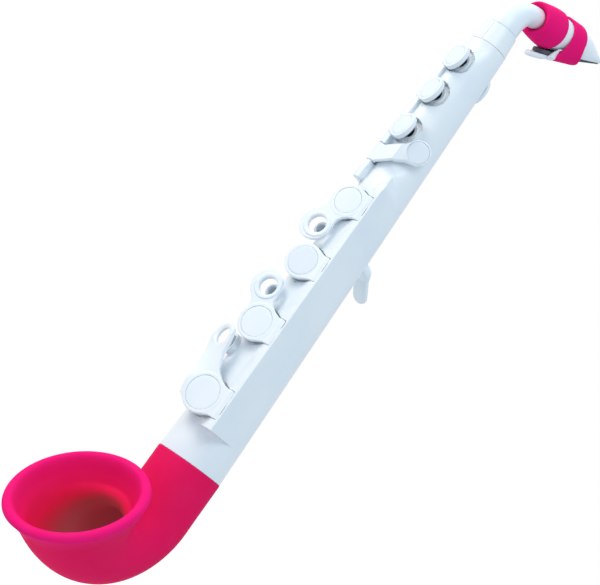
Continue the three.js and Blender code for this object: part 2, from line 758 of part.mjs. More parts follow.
// The arm, elbow and cup of a see-saw lever
function seesawArm(lever) {
  const half = SEESAW_ARM_THICKNESS / 2;
  const width = SEESAW_ARM_HALF_WIDTH;
  const elbow = block([0, lever.cupLow, -width], [lever.elbowReach + half, lever.cupTop, width]);
  return [
    placed(block([0, -half, -width], [lever.armLength, half, width]), lever.armFrame),
    placed(elbow, lever.padFrame),
    placed(drum(lever.cupRadius, lever.cupLow, lever.cupTop), lever.padFrame),
  ];
}

// Room in the rail and the tube for that arm and cup to swing outward
function seesawRoom(lever) {
  const half = SEESAW_ARM_THICKNESS / 2 + SWING_MARGIN;
  const width = SEESAW_ARM_HALF_WIDTH + SWING_MARGIN;
  return [
    placed(block([0, -4 * half, -width], [lever.armLength, half, width]), lever.armFrame),
    placed(drum(lever.cupRadius + SWING_MARGIN, lever.radius + GAP, 2 * lever.radius), lever.padFrame),
  ];
}

function seesawPad(lever) {
  return placed(drum(lever.padRadius, lever.face, lever.face + SEESAW_PAD_THICKNESS), lever.padFrame);
}

function seesawVent(lever, radius, low, high) {
  return placed(placed(drum(radius, low, high, HOLE_SIDES), lever.padFrame), lever.frame);
}

// Side lever, in the left hinge frame at its height

const LEVER_TOUCH_FRAME = new THREE.Matrix4().makeRotationZ(-rad(LEVER_TOUCH_DEG))
  .setPosition(LEVER_TOUCH_ACROSS, LEVER_TOUCH_RISE, LEVER_TOUCH_ALONG);

// A four-cornered section of the lever: its upper edge along the rod, and the lower edge square to the lean
function leverSection(across, rise, along, halfWidth, leanDeg) {
  const lean = rad(leanDeg);
  const deep = [across - PLATE_THICKNESS * Math.sin(lean), rise - PLATE_THICKNESS * Math.cos(lean)];
  return [
    new THREE.Vector3(across, rise, along - halfWidth),
    new THREE.Vector3(across, rise, along + halfWidth),
    new THREE.Vector3(...deep, along + halfWidth),
    new THREE.Vector3(...deep, along - halfWidth),
  ];
}

function leverShape() {
  const { hubEnd } = LEVER;
  const railEdge = LEFT_RIDGE_RADIUS + OVERCUT;
  const slope = (LEVER_RIDGE_RISE - LEFT_HUB_RADIUS) / LEVER_RIDGE_ACROSS;
  const half = LEVER_RIDGE_HALF_WIDTH;
  const bridge = loft([
    leverSection(0, LEFT_HUB_RADIUS, 0, hubEnd, 0),
    leverSection(railEdge, LEFT_HUB_RADIUS + slope * railEdge, 0, hubEnd, 0),
    leverSection(LEVER_RIDGE_ACROSS, LEVER_RIDGE_RISE, LEVER_RIDGE_ALONG, half, LEVER_RIDGE_LEAN_DEG),
    leverSection(LEVER_TOUCH_ACROSS, LEVER_TOUCH_RISE, LEVER_TOUCH_ALONG, half, LEVER_TOUCH_DEG),
  ]);
  const whole = join([
    shaft(LEFT_HUB_RADIUS, -hubEnd, hubEnd, HUB_SIDES),
    bridge,
    placed(drum(LEVER_TOUCH_RADIUS, -PLATE_THICKNESS, 0), LEVER_TOUCH_FRAME),
    ...seesawArm(LEVER),
  ]);
  return cut(whole, [
    ...hubCuts(hubEnd, 0),
    placed(drum(LEVER_INLAY_RADIUS, -INLAY_DEPTH, OVERCUT), LEVER_TOUCH_FRAME),
  ]);
}

function leverRoom() {
  const side = LEFT_RIDGE_RADIUS + OVERCUT;
  const end = LEVER.hubEnd + GAP;
  const hub = block([-side, -LEFT_HUB_RADIUS - GAP, -end], [side, 3 * side, end]);
  return [hub, ...seesawRoom(LEVER)].map((piece) => placed(piece, LEVER.frame));
}

// Thumb key: first axis across the back of the tube, second outward, third along the pin

function thumbKeyFrame() {
  const along = new THREE.Vector3(0, -TAPER, 1).normalize();
  const across = new THREE.Vector3(1, 0, 0);
  const frame = new THREE.Matrix4().makeBasis(across, along.clone().cross(across), along);
  const out = tubeRadius(THUMB_KEY_HEIGHT) + THUMB_KEY_HINGE_RISE;
  return frame.setPosition(-THUMB_KEY_HINGE_OFFSET, out, THUMB_KEY_HEIGHT);
}

const THUMB_KEY = seesawPlan({
  frame: thumbKeyFrame(),
  height: THUMB_KEY_HEIGHT,
  hinge: [-THUMB_KEY_HINGE_OFFSET, tubeRadius(THUMB_KEY_HEIGHT) + THUMB_KEY_HINGE_RISE],
  azimuthDeg: THUMB_KEY_PAD_AZIMUTH_DEG,
  hub: THUMB_KEY_HUB_LENGTH,
  padRadius: THUMB_KEY_PAD_RADIUS,
});
const LUG_NEAR = THUMB_KEY.hubEnd + GAP;
const LUG_FAR = LUG_NEAR + LUG_THICKNESS;

function thumbKeyShape() {
  const top = THUMB_KEY_HUB_RADIUS;
  const touch = drum(1, top - PLATE_THICKNESS, top);
  touch.scale(THUMB_KEY_TOUCH_HALF_WIDTH, 1, THUMB_KEY_TOUCH_HALF_LENGTH);
  const whole = join([
    shaft(top, -THUMB_KEY.hubEnd, THUMB_KEY.hubEnd, HUB_SIDES),
    touch.translate(THUMB_KEY_TOUCH_ACROSS, 0, 0),
    ...seesawArm(THUMB_KEY),
  ]);
  return cut(whole, hubCuts(THUMB_KEY.hubEnd, 0));
}

// Room in the tube's wall for the hub
function thumbKeyRoom() {
  const end = THUMB_KEY.hubEnd + GAP;
  return placed(shaft(THUMB_KEY_HUB_RADIUS + GAP, -end, end, HUB_SIDES), THUMB_KEY.frame);
}

function thumbKeyLugs() {
  const root = boreRadius(THUMB_KEY_HEIGHT) - tubeRadius(THUMB_KEY_HEIGHT) - THUMB_KEY_HINGE_RISE;
  return [[-LUG_FAR, -LUG_NEAR], [LUG_NEAR, LUG_FAR]].flatMap(([low, high]) => [
    shaft(LUG_RADIUS, low, high, HUB_SIDES),
    block([-LUG_RADIUS, root, low], [LUG_RADIUS, 0, high]),
  ]).map((piece) => placed(piece, THUMB_KEY.frame));
}

// Thumb hook

const HOOK_SEAT = tubeRadius(HOOK_HEIGHT - HOOK_BASE_BELOW) + HOOK_BOSS_RISE;
const HOOK_BASE_FACE = HOOK_SEAT + GAP + HOOK_BASE_THICKNESS;
const HOOK_SCREW_HEIGHT = HOOK_HEIGHT + HOOK_SCREW_ABOVE;

function hookBoss() {
  const half = HOOK_BASE_HALF_WIDTH + HOOK_BOSS_MARGIN;
  const low = HOOK_HEIGHT - HOOK_BASE_BELOW - HOOK_BOSS_MARGIN;
  return block([-half, 0, low], [half, HOOK_SEAT, HOOK_HEIGHT + HOOK_BASE_ABOVE + HOOK_BOSS_MARGIN]);
}

function hookScrewHole(low, high) {
  return drum(HOOK_SCREW_RADIUS + GAP, low, high, BORE_SIDES).translate(0, 0, HOOK_SCREW_HEIGHT);
}

function hookShape() {
  const half = HOOK_HALF_WIDTH;
  const back = HOOK_SEAT + GAP;
  const flatEnd = HOOK_BASE_FACE + HOOK_FLAT;
  const lean = rad(HOOK_TONGUE_DEG);
  const tongueFrame = new THREE.Matrix4().makeBasis(
    new THREE.Vector3(0, Math.cos(lean), -Math.sin(lean)),
    new THREE.Vector3(0, Math.sin(lean), Math.cos(lean)),
    new THREE.Vector3(1, 0, 0),
  );
  tongueFrame.setPosition(0, flatEnd, HOOK_HEIGHT);
  const round = HOOK_TONGUE_LENGTH - half;
  const outline = [[-HOOK_TONGUE_ROOT, -half], [round, -half], [round, half], [-HOOK_TONGUE_ROOT, half]];
  const whole = join([
    block(
      [-HOOK_BASE_HALF_WIDTH, back, HOOK_HEIGHT - HOOK_BASE_BELOW],
      [HOOK_BASE_HALF_WIDTH, HOOK_BASE_FACE, HOOK_HEIGHT + HOOK_BASE_ABOVE],
    ),
    block([-half, back, HOOK_HEIGHT], [half, flatEnd, HOOK_HEIGHT + HOOK_ARM_THICKNESS]),
    placed(plate(outline, 0, HOOK_TONGUE_THICKNESS), tongueFrame),
    placed(drum(half, 0, HOOK_TONGUE_THICKNESS).translate(round, 0, 0), tongueFrame),
  ]);
  return cut(whole, [hookScrewHole(back - OVERCUT, HOOK_BASE_FACE + OVERCUT)]);
}

function hookScrew() {
  const headLow = HOOK_BASE_FACE + GAP;
  const headTop = headLow + HOOK_SCREW_HEAD;
  const whole = join([
    drum(HOOK_SCREW_RADIUS, HOOK_SEAT - HOOK_SCREW_GRIP, headLow + GAP, BORE_SIDES),
    drum(HOOK_SCREW_HEAD_RADIUS, headLow, headTop, HOLE_SIDES, HOOK_SCREW_HEAD_RADIUS - SLOT_WIDTH),
  ]);
  const slot = block(
    [-HOOK_SCREW_HEAD_RADIUS, headTop - SLOT_DEPTH, -SLOT_WIDTH / 2],
    [HOOK_SCREW_HEAD_RADIUS, headTop + OVERCUT, SLOT_WIDTH / 2],
  );
  const slots = [slot, slot.clone().rotateY(Math.PI / 2)];
  return geometryOf(cut(whole, slots)).translate(0, 0, HOOK_SCREW_HEIGHT);
}

// The whole body tube
function bodyTube() {
  const ringed = KEYS.filter((key) => key.ring);
  const spigot = BORE_TOP_RADIUS + SPIGOT_WALL;
  const outside = join([
    shaft(TENON_RADIUS, -TENON_LENGTH, OVERCUT, TUBE_SIDES),
    shaft(TUBE_LOW_RADIUS, 0, TUBE_LENGTH, TUBE_SIDES, TUBE_TOP_RADIUS),
    shaft(spigot, TUBE_LENGTH - OVERCUT, TUBE_LENGTH + SPIGOT_LENGTH, TUBE_SIDES),
    ...rightRail(),
    leftRail(),
    hookBoss(),
    ...thumbKeyLugs(),
  ]);
  const roomy = cut(outside, [...KEYS.flatMap(keyRoom), ...leverRoom(), thumbKeyRoom()]);
  const seated = roomy.add(join([
    ...KEYS.map(keySeat),
    ...ringed.map((key) => ringPost(key, RING_POST_RADIUS, 0, ringPostDepth(key))),
    seesawVent(LEVER, LEVER_SEAT_RADIUS, LEVER.radius - SEAT_WALL, LEVER.seat),
    seesawVent(THUMB_KEY, THUMB_KEY_SEAT_RADIUS, THUMB_KEY.radius - SEAT_WALL, THUMB_KEY.seat),
  ]));
  const boreLow = -TENON_LENGTH - OVERCUT;
  const boreHigh = TUBE_LENGTH + SPIGOT_LENGTH + OVERCUT;
  return cut(seated, [
    shaft(boreRadius(boreLow), boreLow, boreHigh, TUBE_SIDES, boreRadius(boreHigh)),
    ...KEYS.map(toneHole),
    ...ringed.map((key) => ringPost(key, RING_POST_HOLE_RADIUS, OVERCUT, ringPostDepth(key))),
    ...KEYS.map((key) => springSeat(key.hub / 2, key.frame)),
    springSeat(LEVER.hubEnd, LEVER.frame),
    springSeat(THUMB_KEY.hubEnd, THUMB_KEY.frame),
    ...RODS.map((rod) => placed(
      rodShaft(rod.side, ROD_RADIUS + GAP, rod.low - 2 * OVERCUT, rod.high + GAP), hingeFrame(rod.side, 0),
    )),
    seesawVent(LEVER, LEVER_VENT_RADIUS, LEVER_VENT_RADIUS, LEVER.seat + OVERCUT),
    seesawVent(THUMB_KEY, THUMB_KEY_VENT_RADIUS, THUMB_KEY_VENT_RADIUS, THUMB_KEY.seat + OVERCUT),
    placed(shaft(ROD_RADIUS + GAP, -LUG_FAR - OVERCUT, LUG_FAR + OVERCUT, BORE_SIDES), THUMB_KEY.frame),
    hookScrewHole(HOOK_SEAT - HOOK_SCREW_GRIP - GAP, HOOK_SEAT + OVERCUT),
  ]);
}

addMesh(instrument, 'body_tube', bodyTube(), WHITE);

// Keys on the rails

function keyShape(key) {
  const pieces = [
    shaft(key.hubRadius, -key.hub / 2, key.hub / 2, HUB_SIDES),
    ...keyPlate(key, 0, key.low, key.top),
  ];
  const cutters = [
    ...hubCuts(key.hub / 2, -key.open / 2),
    drum(key.inlay, key.top - INLAY_DEPTH, key.top + OVERCUT).translate(key.reach, 0, 0),
  ];
  if (key.ring) {
    const frame = ringFrame(key);
    const dish = key.ring.radius - RING_EDGE;
    const slope = (dish - RING_HOLE_RADIUS) / RING_DISH_DEPTH;
    pieces.push(ringWeb(key), placed(drum(key.ring.radius, -PLATE_THICKNESS, 0), frame));
    cutters.push(placed(drum(RING_HOLE_RADIUS, -2 * PLATE_THICKNESS, OVERCUT), frame));
    cutters.push(placed(
      drum(RING_HOLE_RADIUS, -RING_DISH_DEPTH, OVERCUT, DISC_SIDES, dish + slope * OVERCUT), frame,
    ));
  }
  return cut(join(pieces), cutters);
}

// A disc let into the top of a key or lever
function inlayDisc(radius, top) {
  return drum(radius - GAP, top - INLAY_DEPTH + GAP, top);
}

for (const key of KEYS) {
  const hinge = groupAt(key.frame);
  const swung = groupAt(new THREE.Matrix4().makeRotationZ(key.open), hinge);
  const glossy = !key.ring && key.side === 'right';
  addMesh(swung, key.name, keyShape(key), WHITE);
  const inlay = inlayDisc(key.inlay, key.top).translate(key.reach, 0, 0);
  addMesh(swung, `${key.name}_inlay`, inlay, glossy ? GLOSS_WHITE : WHITE);
  const pad = drum(key.pad, key.padFace, key.padFace + PAD_THICKNESS, HUB_SIDES).translate(key.reach, 0, 0);
  addMesh(swung, `${key.name}_pad`, pad, GREY_PAD);
  addMesh(hinge, `${key.name}_spring`, springCoil(key.hub / 2), STEEL);
}

for (const rod of RODS) {
  const bar = rodShaft(rod.side, ROD_RADIUS, rod.low, rod.high);
  addMesh(groupAt(hingeFrame(rod.side, 0)), `${rod.side}_hinge_rod`, bar, STEEL);
}

const leverGroup = groupAt(LEVER.frame);
addMesh(leverGroup, 'side_lever', leverShape(), WHITE);
addMesh(leverGroup, 'side_lever_inlay', placed(inlayDisc(LEVER_INLAY_RADIUS, 0), LEVER_TOUCH_FRAME), WHITE);
addMesh(leverGroup, 'side_lever_pad', seesawPad(LEVER), GREY_PAD);
addMesh(leverGroup, 'side_lever_spring', springCoil(LEVER.hubEnd), STEEL);

const thumbGroup = groupAt(THUMB_KEY.frame);
addMesh(thumbGroup, 'thumb_key', thumbKeyShape(), WHITE);
addMesh(thumbGroup, 'thumb_key_pad', seesawPad(THUMB_KEY), GREY_PAD);
addMesh(thumbGroup, 'thumb_key_pin', shaft(ROD_RADIUS, GAP - LUG_FAR, LUG_FAR - GAP, BORE_SIDES), STEEL);
addMesh(thumbGroup, 'thumb_key_spring', springCoil(THUMB_KEY.hubEnd), STEEL);

addMesh(instrument, 'thumb_hook', hookShape(), WHITE);
addMesh(instrument, 'thumb_hook_screw', hookScrew(), STEEL);

// Collar between tube and neck

function neckCollar() {
  const low = TUBE_LENGTH + GAP;
  const spigotTop = TUBE_LENGTH + SPIGOT_LENGTH + GAP;
  const socket = BORE_TOP_RADIUS + SPIGOT_WALL + GAP;
  const bore = NECK_PLUG_RADIUS + GAP;
  const ring = turned([
    [socket, low],
    [TUBE_TOP_RADIUS, low],
    [COLLAR_TOP_RADIUS, NECK_SEAM],
    [bore, NECK_SEAM],
    [bore, spigotTop],
    [socket, spigotTop],
  ]);
  const half = COLLAR_RIB_WIDTH / 2;
  const section = (x, radius, height) => [
    new THREE.Vector3(x - half, -radius - COLLAR_RIB_HEIGHT, height),
    new THREE.Vector3(x + half, -radius - COLLAR_RIB_HEIGHT, height),
    new THREE.Vector3(x + half, OVERCUT - radius, height),
    new THREE.Vector3(x - half, OVERCUT - radius, height),
  ];
  const ribs = [-COLLAR_RIB_SPACING / 2, COLLAR_RIB_SPACING / 2].map((x) => loft([
    section(x, TUBE_TOP_RADIUS, low + COLLAR_RIB_WIDTH),
    section(x, COLLAR_TOP_RADIUS, NECK_SEAM - COLLAR_RIB_WIDTH),
  ]));
  return join([ring, ...ribs]);
}

addMesh(instrument, 'neck_collar', neckCollar(), WHITE);

// Neck: a plug in the collar, a bend towards the player and a tenon for the mouthpiece

const NECK_BASE = NECK_SEAM + GAP;
const NECK_TURN = rad(NECK_TURN_DEG);
const NECK_DIRECTION = new THREE.Vector3(0, Math.sin(NECK_TURN), Math.cos(NECK_TURN));
const SEAL_HEIGHT = NECK_SEAM - NECK_PLUG_LENGTH / 2;
const SEAL_CENTRE = NECK_PLUG_RADIUS - SEAL_GROOVE_DEPTH / 2;

function neckPlace(angle) {
  const y = NECK_BEND_RADIUS * (1 - Math.cos(angle));
  return new THREE.Vector3(0, y, NECK_BASE + NECK_BEND_RADIUS * Math.sin(angle));
}

const NECK_END = neckPlace(NECK_TURN);

function neckRings(radiusAt, sides) {
  return Array.from({ length: NECK_STEPS + 1 }, (_, k) => {
    const angle = (NECK_TURN * k) / NECK_STEPS;
    const direction = new THREE.Vector3(0, Math.sin(angle), Math.cos(angle));
    return roundRing(neckPlace(angle), direction, radiusAt(k / NECK_STEPS), sides);
  });
}

function neckShape() {
  const plugLow = NECK_SEAM - NECK_PLUG_LENGTH;
  const upward = new THREE.Vector3(0, 0, 1);
  const tenonEnd = NECK_END.clone().addScaledVector(NECK_DIRECTION, NECK_TENON_LENGTH);
  const tenonStart = NECK_END.clone().addScaledVector(NECK_DIRECTION, SLEEVE_FUNNEL + SLEEVE_LIP);
  const whole = join([
    shaft(NECK_PLUG_RADIUS, plugLow, NECK_BASE + OVERCUT, NECK_SIDES),
    loft([
      ...neckRings((share) => smoothBetween(NECK_LOW_RADIUS, NECK_END_RADIUS, share), NECK_SIDES),
      roundRing(tenonStart, NECK_DIRECTION, NECK_END_RADIUS, NECK_SIDES),
    ]),
    loft([NECK_END, tenonEnd].map(
      (place) => roundRing(place, NECK_DIRECTION, NECK_TENON_RADIUS, NECK_SIDES),
    )),
  ]);
  const boreStart = new THREE.Vector3(0, 0, plugLow - OVERCUT);
  const boreEnd = tenonEnd.clone().addScaledVector(NECK_DIRECTION, OVERCUT);
  const bore = loft([
    roundRing(boreStart, upward, NECK_BORE_RADIUS, HOLE_SIDES),
    ...neckRings(() => NECK_BORE_RADIUS, HOLE_SIDES),
    roundRing(boreEnd, NECK_DIRECTION, NECK_BORE_RADIUS, HOLE_SIDES),
  ]);
  const grooveHalf = SEAL_RADIUS + GAP;
  const floor = NECK_PLUG_RADIUS - SEAL_GROOVE_DEPTH;
  const groove = turned([
    [floor, SEAL_HEIGHT - grooveHalf],
    [NECK_PLUG_RADIUS + OVERCUT, SEAL_HEIGHT - grooveHalf],
    [NECK_PLUG_RADIUS + OVERCUT, SEAL_HEIGHT + grooveHalf],
    [floor, SEAL_HEIGHT + grooveHalf],
  ], NECK_SIDES);
  return cut(whole, [bore, groove]);
}

addMesh(instrument, 'neck', neckShape(), WHITE);
const seal = turned(Array.from({ length: SEAL_SIDES }, (_, k) => {
  const angle = (2 * Math.PI * k) / SEAL_SIDES;
  return [SEAL_CENTRE + SEAL_RADIUS * Math.cos(angle), SEAL_HEIGHT + SEAL_RADIUS * Math.sin(angle)];
}), NECK_SIDES);
addMesh(instrument, 'neck_seal', geometryOf(solid(seal)), GREY_PAD);

// Bell

const BELL_BEND = rad(BELL_TURN_DEG);
const BELL_BEND_LENGTH = BELL_BEND_RADIUS * BELL_BEND;
const BELL_PATH = BELL_SLEEVE_LENGTH + BELL_BEND_LENGTH + BELL_MOUTH_LENGTH;

// The place on the bell's axis at a distance from the seam, and the direction of the axis there
function bellAxis(distance) {
  const angle = THREE.MathUtils.clamp((distance - BELL_SLEEVE_LENGTH) / BELL_BEND_RADIUS, 0, BELL_BEND);
  const straight = distance - angle * BELL_BEND_RADIUS;
  const direction = new THREE.Vector3(0, -Math.sin(angle), -Math.cos(angle));
  const sleeve = Math.min(straight, BELL_SLEEVE_LENGTH);
  const place = new THREE.Vector3(
    0, BELL_BEND_RADIUS * (Math.cos(angle) - 1), -sleeve - BELL_BEND_RADIUS * Math.sin(angle),
  );
  return { place: place.addScaledVector(direction, straight - sleeve), direction };
}

function bellRing(distance, radius) {
  const { place, direction } = bellAxis(distance);
  return roundRing(place, direction, radius, BELL_SIDES);
}

function bellRadius(distance) {
  const share = distance / (BELL_PATH - BELL_LIP);
  return BELL_SLEEVE_RADIUS + (BELL_RIM_RADIUS - BELL_SLEEVE_RADIUS) * share ** BELL_FLARE;
}

// A quarter of the round lip: how far it lies along the axis and how far it has turned in
function lipQuarter(steps = 3) {
  return Array.from({ length: steps }, (_, k) => {
    const angle = ((k + 1) * Math.PI) / (2 * steps);
    return [BELL_LIP * Math.sin(angle), BELL_LIP * (1 - Math.cos(angle))];
  });
}

function bellShape() {
  const lipStart = BELL_PATH - BELL_LIP;
  const bends = Array.from(
    { length: BELL_BEND_STEPS + 1 }, (_, k) => BELL_SLEEVE_LENGTH + (BELL_BEND_LENGTH * k) / BELL_BEND_STEPS,
  );
  const mouth = [0.4, 0.75].map((share) => BELL_PATH - BELL_MOUTH_LENGTH + share * BELL_MOUTH_LENGTH);
  const outside = [
    ...[GAP, ...bends, ...mouth, lipStart].map((distance) => bellRing(distance, bellRadius(distance))),
    ...lipQuarter().map(([along, inward]) => bellRing(lipStart + along, BELL_RIM_RADIUS - inward)),
  ];
  const lipInside = BELL_RIM_RADIUS - BELL_LIP - BELL_LIP_FLAT;
  const inside = [
    ...[TENON_LENGTH, ...bends, ...mouth].map(
      (distance) => bellRing(distance, bellRadius(distance) - BELL_WALL),
    ),
    bellRing(lipStart, lipInside - BELL_LIP),
    ...lipQuarter().map(([along, inward]) => bellRing(lipStart + along, lipInside - BELL_LIP + inward)),
    bellRing(BELL_PATH + OVERCUT, lipInside + OVERCUT),
  ];
  const socket = shaft(TENON_RADIUS + GAP, -TENON_LENGTH - GAP, OVERCUT, TUBE_SIDES);
  return cut(solid(loft(outside)), [loft(inside), socket]);
}

addMesh(instrument, 'bell', bellShape(), PINK);

// Mouthpiece, in a frame at the neck's end: X as before, Y down to the reed, Z towards the tip

const MOUTHPIECE_FRAME = new THREE.Matrix4().makeBasis(
  new THREE.Vector3(1, 0, 0),
  new THREE.Vector3(0, Math.cos(NECK_TURN), -Math.sin(NECK_TURN)),
  NECK_DIRECTION,
).setPosition(NECK_END);
const SHANK_RADIUS = NECK_TENON_RADIUS + GAP + SHANK_WALL;
const SHANK_START = SLEEVE_FUNNEL + SLEEVE_LIP + GAP;
const TABLE_FALL = SLEEVE_FAR_RADIUS - TABLE_SINK - TIP_DROP;
const TABLE_SLOPE = TABLE_FALL / (MOUTHPIECE_LENGTH - SLEEVE_LENGTH);
const mouthGroup = groupAt(MOUTHPIECE_FRAME);

// How far the flat table lies below the axis
function tableDrop(along) {
  return TIP_DROP + (MOUTHPIECE_LENGTH - along) * TABLE_SLOPE;
}

function mouthpieceRing(along) {
  const share = Math.max(along - BEAK_START, 0) / (MOUTHPIECE_LENGTH - BEAK_START);
  const top = -MOUTHPIECE_RADIUS + (MOUTHPIECE_RADIUS + TIP_DROP - TIP_THICKNESS) * share ** BEAK_CURVE;
  const low = smoothBetween(MOUTHPIECE_RADIUS, tableDrop(along) + OVERCUT, share);
  const halfWidth = smoothBetween(MOUTHPIECE_RADIUS, TIP_HALF_WIDTH, share);
  return Array.from({ length: MOUTHPIECE_SIDES }, (_, k) => {
    const angle = (2 * Math.PI * k) / MOUTHPIECE_SIDES;
    const y = (top + low) / 2 + ((low - top) / 2) * Math.sin(angle);
    return new THREE.Vector3(halfWidth * Math.cos(angle), y, along);
  });
}

function mouthpieceShape() {
  const start = SLEEVE_LENGTH + GAP;
  const beak = Array.from({ length: BEAK_STEPS + 1 }, (_, k) => (
    BEAK_START + ((MOUTHPIECE_LENGTH - BEAK_START) * k) / BEAK_STEPS
  ));
  const whole = join([
    shaft(SHANK_RADIUS, SHANK_START, start + OVERCUT, MOUTHPIECE_SIDES),
    loft([start, ...beak].map(mouthpieceRing)),
  ]);
  const deep = 4 * MOUTHPIECE_RADIUS;
  const far = MOUTHPIECE_LENGTH + OVERCUT;
  const table = sideProfile([[tableDrop(0), 0], [deep, 0], [deep, far], [tableDrop(far), far]], deep);
  const window = sideProfile([
    [tableDrop(WINDOW_START) - 2 * WINDOW_DEPTH, WINDOW_START],
    [deep, WINDOW_START],
    [deep, WINDOW_END],
    [tableDrop(WINDOW_END) - OVERCUT, WINDOW_END],
    [tableDrop(CHAMBER_END + WINDOW_DEPTH) - 2 * WINDOW_DEPTH, CHAMBER_END + WINDOW_DEPTH],
  ], WINDOW_HALF_WIDTH);
  return cut(whole, [
    shaft(NECK_TENON_RADIUS + GAP, 0, NECK_TENON_LENGTH + OVERCUT, MOUTHPIECE_SIDES),
    shaft(CHAMBER_RADIUS, NECK_TENON_LENGTH, CHAMBER_END, HUB_SIDES),
    table,
    window,
  ]);
}

addMesh(mouthGroup, 'mouthpiece', mouthpieceShape(), WHITE);

function shankSleeve() {
  const bore = NECK_END_RADIUS + GAP;
  const socket = SHANK_RADIUS + GAP;
  const grown = SLEEVE_FAR_RADIUS - SLEEVE_RIM_RADIUS;
  const outer = [0, 0.25, 0.5, 0.75, 1].map((share) => [
    SLEEVE_RIM_RADIUS + grown * Math.sin((share * Math.PI) / 2),
    SLEEVE_ROUND + (SLEEVE_LENGTH - SLEEVE_ROUND) * share,
  ]);
  return turned([
    [bore, SLEEVE_FUNNEL],
    [(bore + SLEEVE_RIM_RADIUS - SLEEVE_ROUND) / 2, SLEEVE_FUNNEL / 2],
    [SLEEVE_RIM_RADIUS - 2 * SLEEVE_ROUND, GAP + SLEEVE_ROUND / 2],
    [SLEEVE_RIM_RADIUS - SLEEVE_ROUND, GAP],
    ...outer,
    [socket, SLEEVE_LENGTH],
    [socket, SHANK_START - GAP],
    [bore, SHANK_START - GAP],
  ], MOUTHPIECE_SIDES);
}

addMesh(mouthGroup, 'shank_sleeve', geometryOf(solid(shankSleeve())), PINK);

// Reed

function reedLow(along) {
  const vamp = Math.max(along - REED_VAMP_START, 0) / (MOUTHPIECE_LENGTH - REED_VAMP_START);
  return tableDrop(along) + GAP + REED_THICKNESS + (REED_TIP_THICKNESS - REED_THICKNESS) * vamp;
}

// A strip along the mouthpiece with a round at each end, to trim a profile with
function roundEnded(half, low, high, lowRound, highRound) {
  const outline = new THREE.Shape();
  outline.moveTo(-half, low + lowRound);
  outline.quadraticCurveTo(-half, low, 0, low);
  outline.quadraticCurveTo(half, low, half, low + lowRound);
  outline.lineTo(half, high - highRound);
  outline.quadraticCurveTo(half, high, 0, high);
  outline.quadraticCurveTo(-half, high, -half, high - highRound);
  const points = outline.getPoints(6).map((point) => [point.x, point.y]);
  return solid(plate(points, -MOUTHPIECE_LENGTH, MOUTHPIECE_LENGTH));
}

function reedShape() {
  const tip = MOUTHPIECE_LENGTH - GAP;
  const half = REED_HALF_WIDTH;
  const side = sideProfile([
    [tableDrop(REED_HEEL) + GAP, REED_HEEL],
    [reedLow(REED_HEEL), REED_HEEL],
    [reedLow(REED_VAMP_START), REED_VAMP_START],
    [reedLow(tip), tip],
    [tableDrop(tip) + GAP, tip],
  ], 2 * half);
  return solid(side).intersect(roundEnded(half, REED_HEEL, tip, REED_HEEL_ROUND, REED_TIP_ROUND));
}

addMesh(mouthGroup, 'reed', reedShape(), CHARCOAL);

// Clip under the reed, with two arms that spring over the mouthpiece

function clipLow(along) {
  const share = THREE.MathUtils.clamp((along - CLIP_ARM_START) / (CLIP_TAPER_END - CLIP_ARM_START), 0, 1);
  const thickness = CLIP_THICKNESS + (CLIP_END_THICKNESS - CLIP_THICKNESS) * share;
  return reedLow(along) + GAP + thickness;
}

function reedClip() {
  const tongue = sideProfile([
    [reedLow(CLIP_TAB_END) + GAP, CLIP_TAB_END],
    [clipLow(CLIP_TAB_END), CLIP_TAB_END],
    [clipLow(CLIP_ARM_START), CLIP_ARM_START],
    [clipLow(CLIP_TAPER_END), CLIP_TAPER_END],
    [clipLow(CLIP_END), CLIP_END],
    [reedLow(CLIP_END) + GAP, CLIP_END],
  ], 2 * CLIP_HALF_WIDTH);
  const trimmed = solid(tongue).intersect(
    roundEnded(CLIP_HALF_WIDTH, CLIP_TAB_END, CLIP_END, CLIP_TAB_ROUND, CLIP_END_THICKNESS),
  );
  const polar = (radius, deg) => [radius * Math.sin(rad(deg)), radius * Math.cos(rad(deg))];
  const hold = MOUTHPIECE_RADIUS + 2 * GAP;
  const floor = reedLow(CLIP_ARM_START) + GAP;
  const insideX = REED_HALF_WIDTH + GAP;
  const inner = [
    ...CLIP_ARM_DEGS.map((deg) => polar(hold, deg)),
    [insideX, tableDrop(CLIP_ARM_START)],
    [insideX, floor],
  ];
  const outer = [
    [insideX, floor + CLIP_THICKNESS],
    [insideX + CLIP_ARM_WALL, floor + CLIP_THICKNESS - CLIP_ARM_WALL],
    [insideX + CLIP_ARM_WALL, tableDrop(CLIP_ARM_START)],
    ...[...CLIP_ARM_DEGS].reverse().map((deg) => polar(hold + CLIP_ARM_WALL, deg)),
  ];
  const mirrored = (points) => points.map(([x, y]) => [-x, y]).reverse();
  const around = [...inner, ...mirrored(inner), ...mirrored(outer), ...outer];
  const shape = new THREE.Shape(around.map(([x, y]) => new THREE.Vector2(x, y)));
  const arms = new THREE.ExtrudeGeometry(shape, { depth: CLIP_ARM_LENGTH, bevelEnabled: false });
  return trimmed.add(solid(arms.translate(0, 0, CLIP_ARM_START)));
}

addMesh(mouthGroup, 'reed_clip', reedClip(), WHITE);

// Soft band around mouthpiece, reed and clip; its ends lie askew

function bandRing(start, skew, bulge, offset) {
  const radius = MOUTHPIECE_RADIUS + GAP + offset;
  const low = clipLow(start + skew * MOUTHPIECE_RADIUS + bulge * MOUTHPIECE_RADIUS ** 2) + GAP + offset;
  const foot = BAND_FOOT + offset;
  const arch = Array.from({ length: BAND_STEPS + 1 }, (_, k) => {
    const angle = (Math.PI * k) / BAND_STEPS;
    return [radius * Math.cos(angle), -radius * Math.sin(angle)];
  });
  const points = [...arch, [-radius, radius / 2], [-foot, low], [foot, low], [radius, radius / 2]];
  return points.map(([x, y]) => new THREE.Vector3(x, y, start + skew * y + bulge * Math.max(y, 0) ** 2));
}

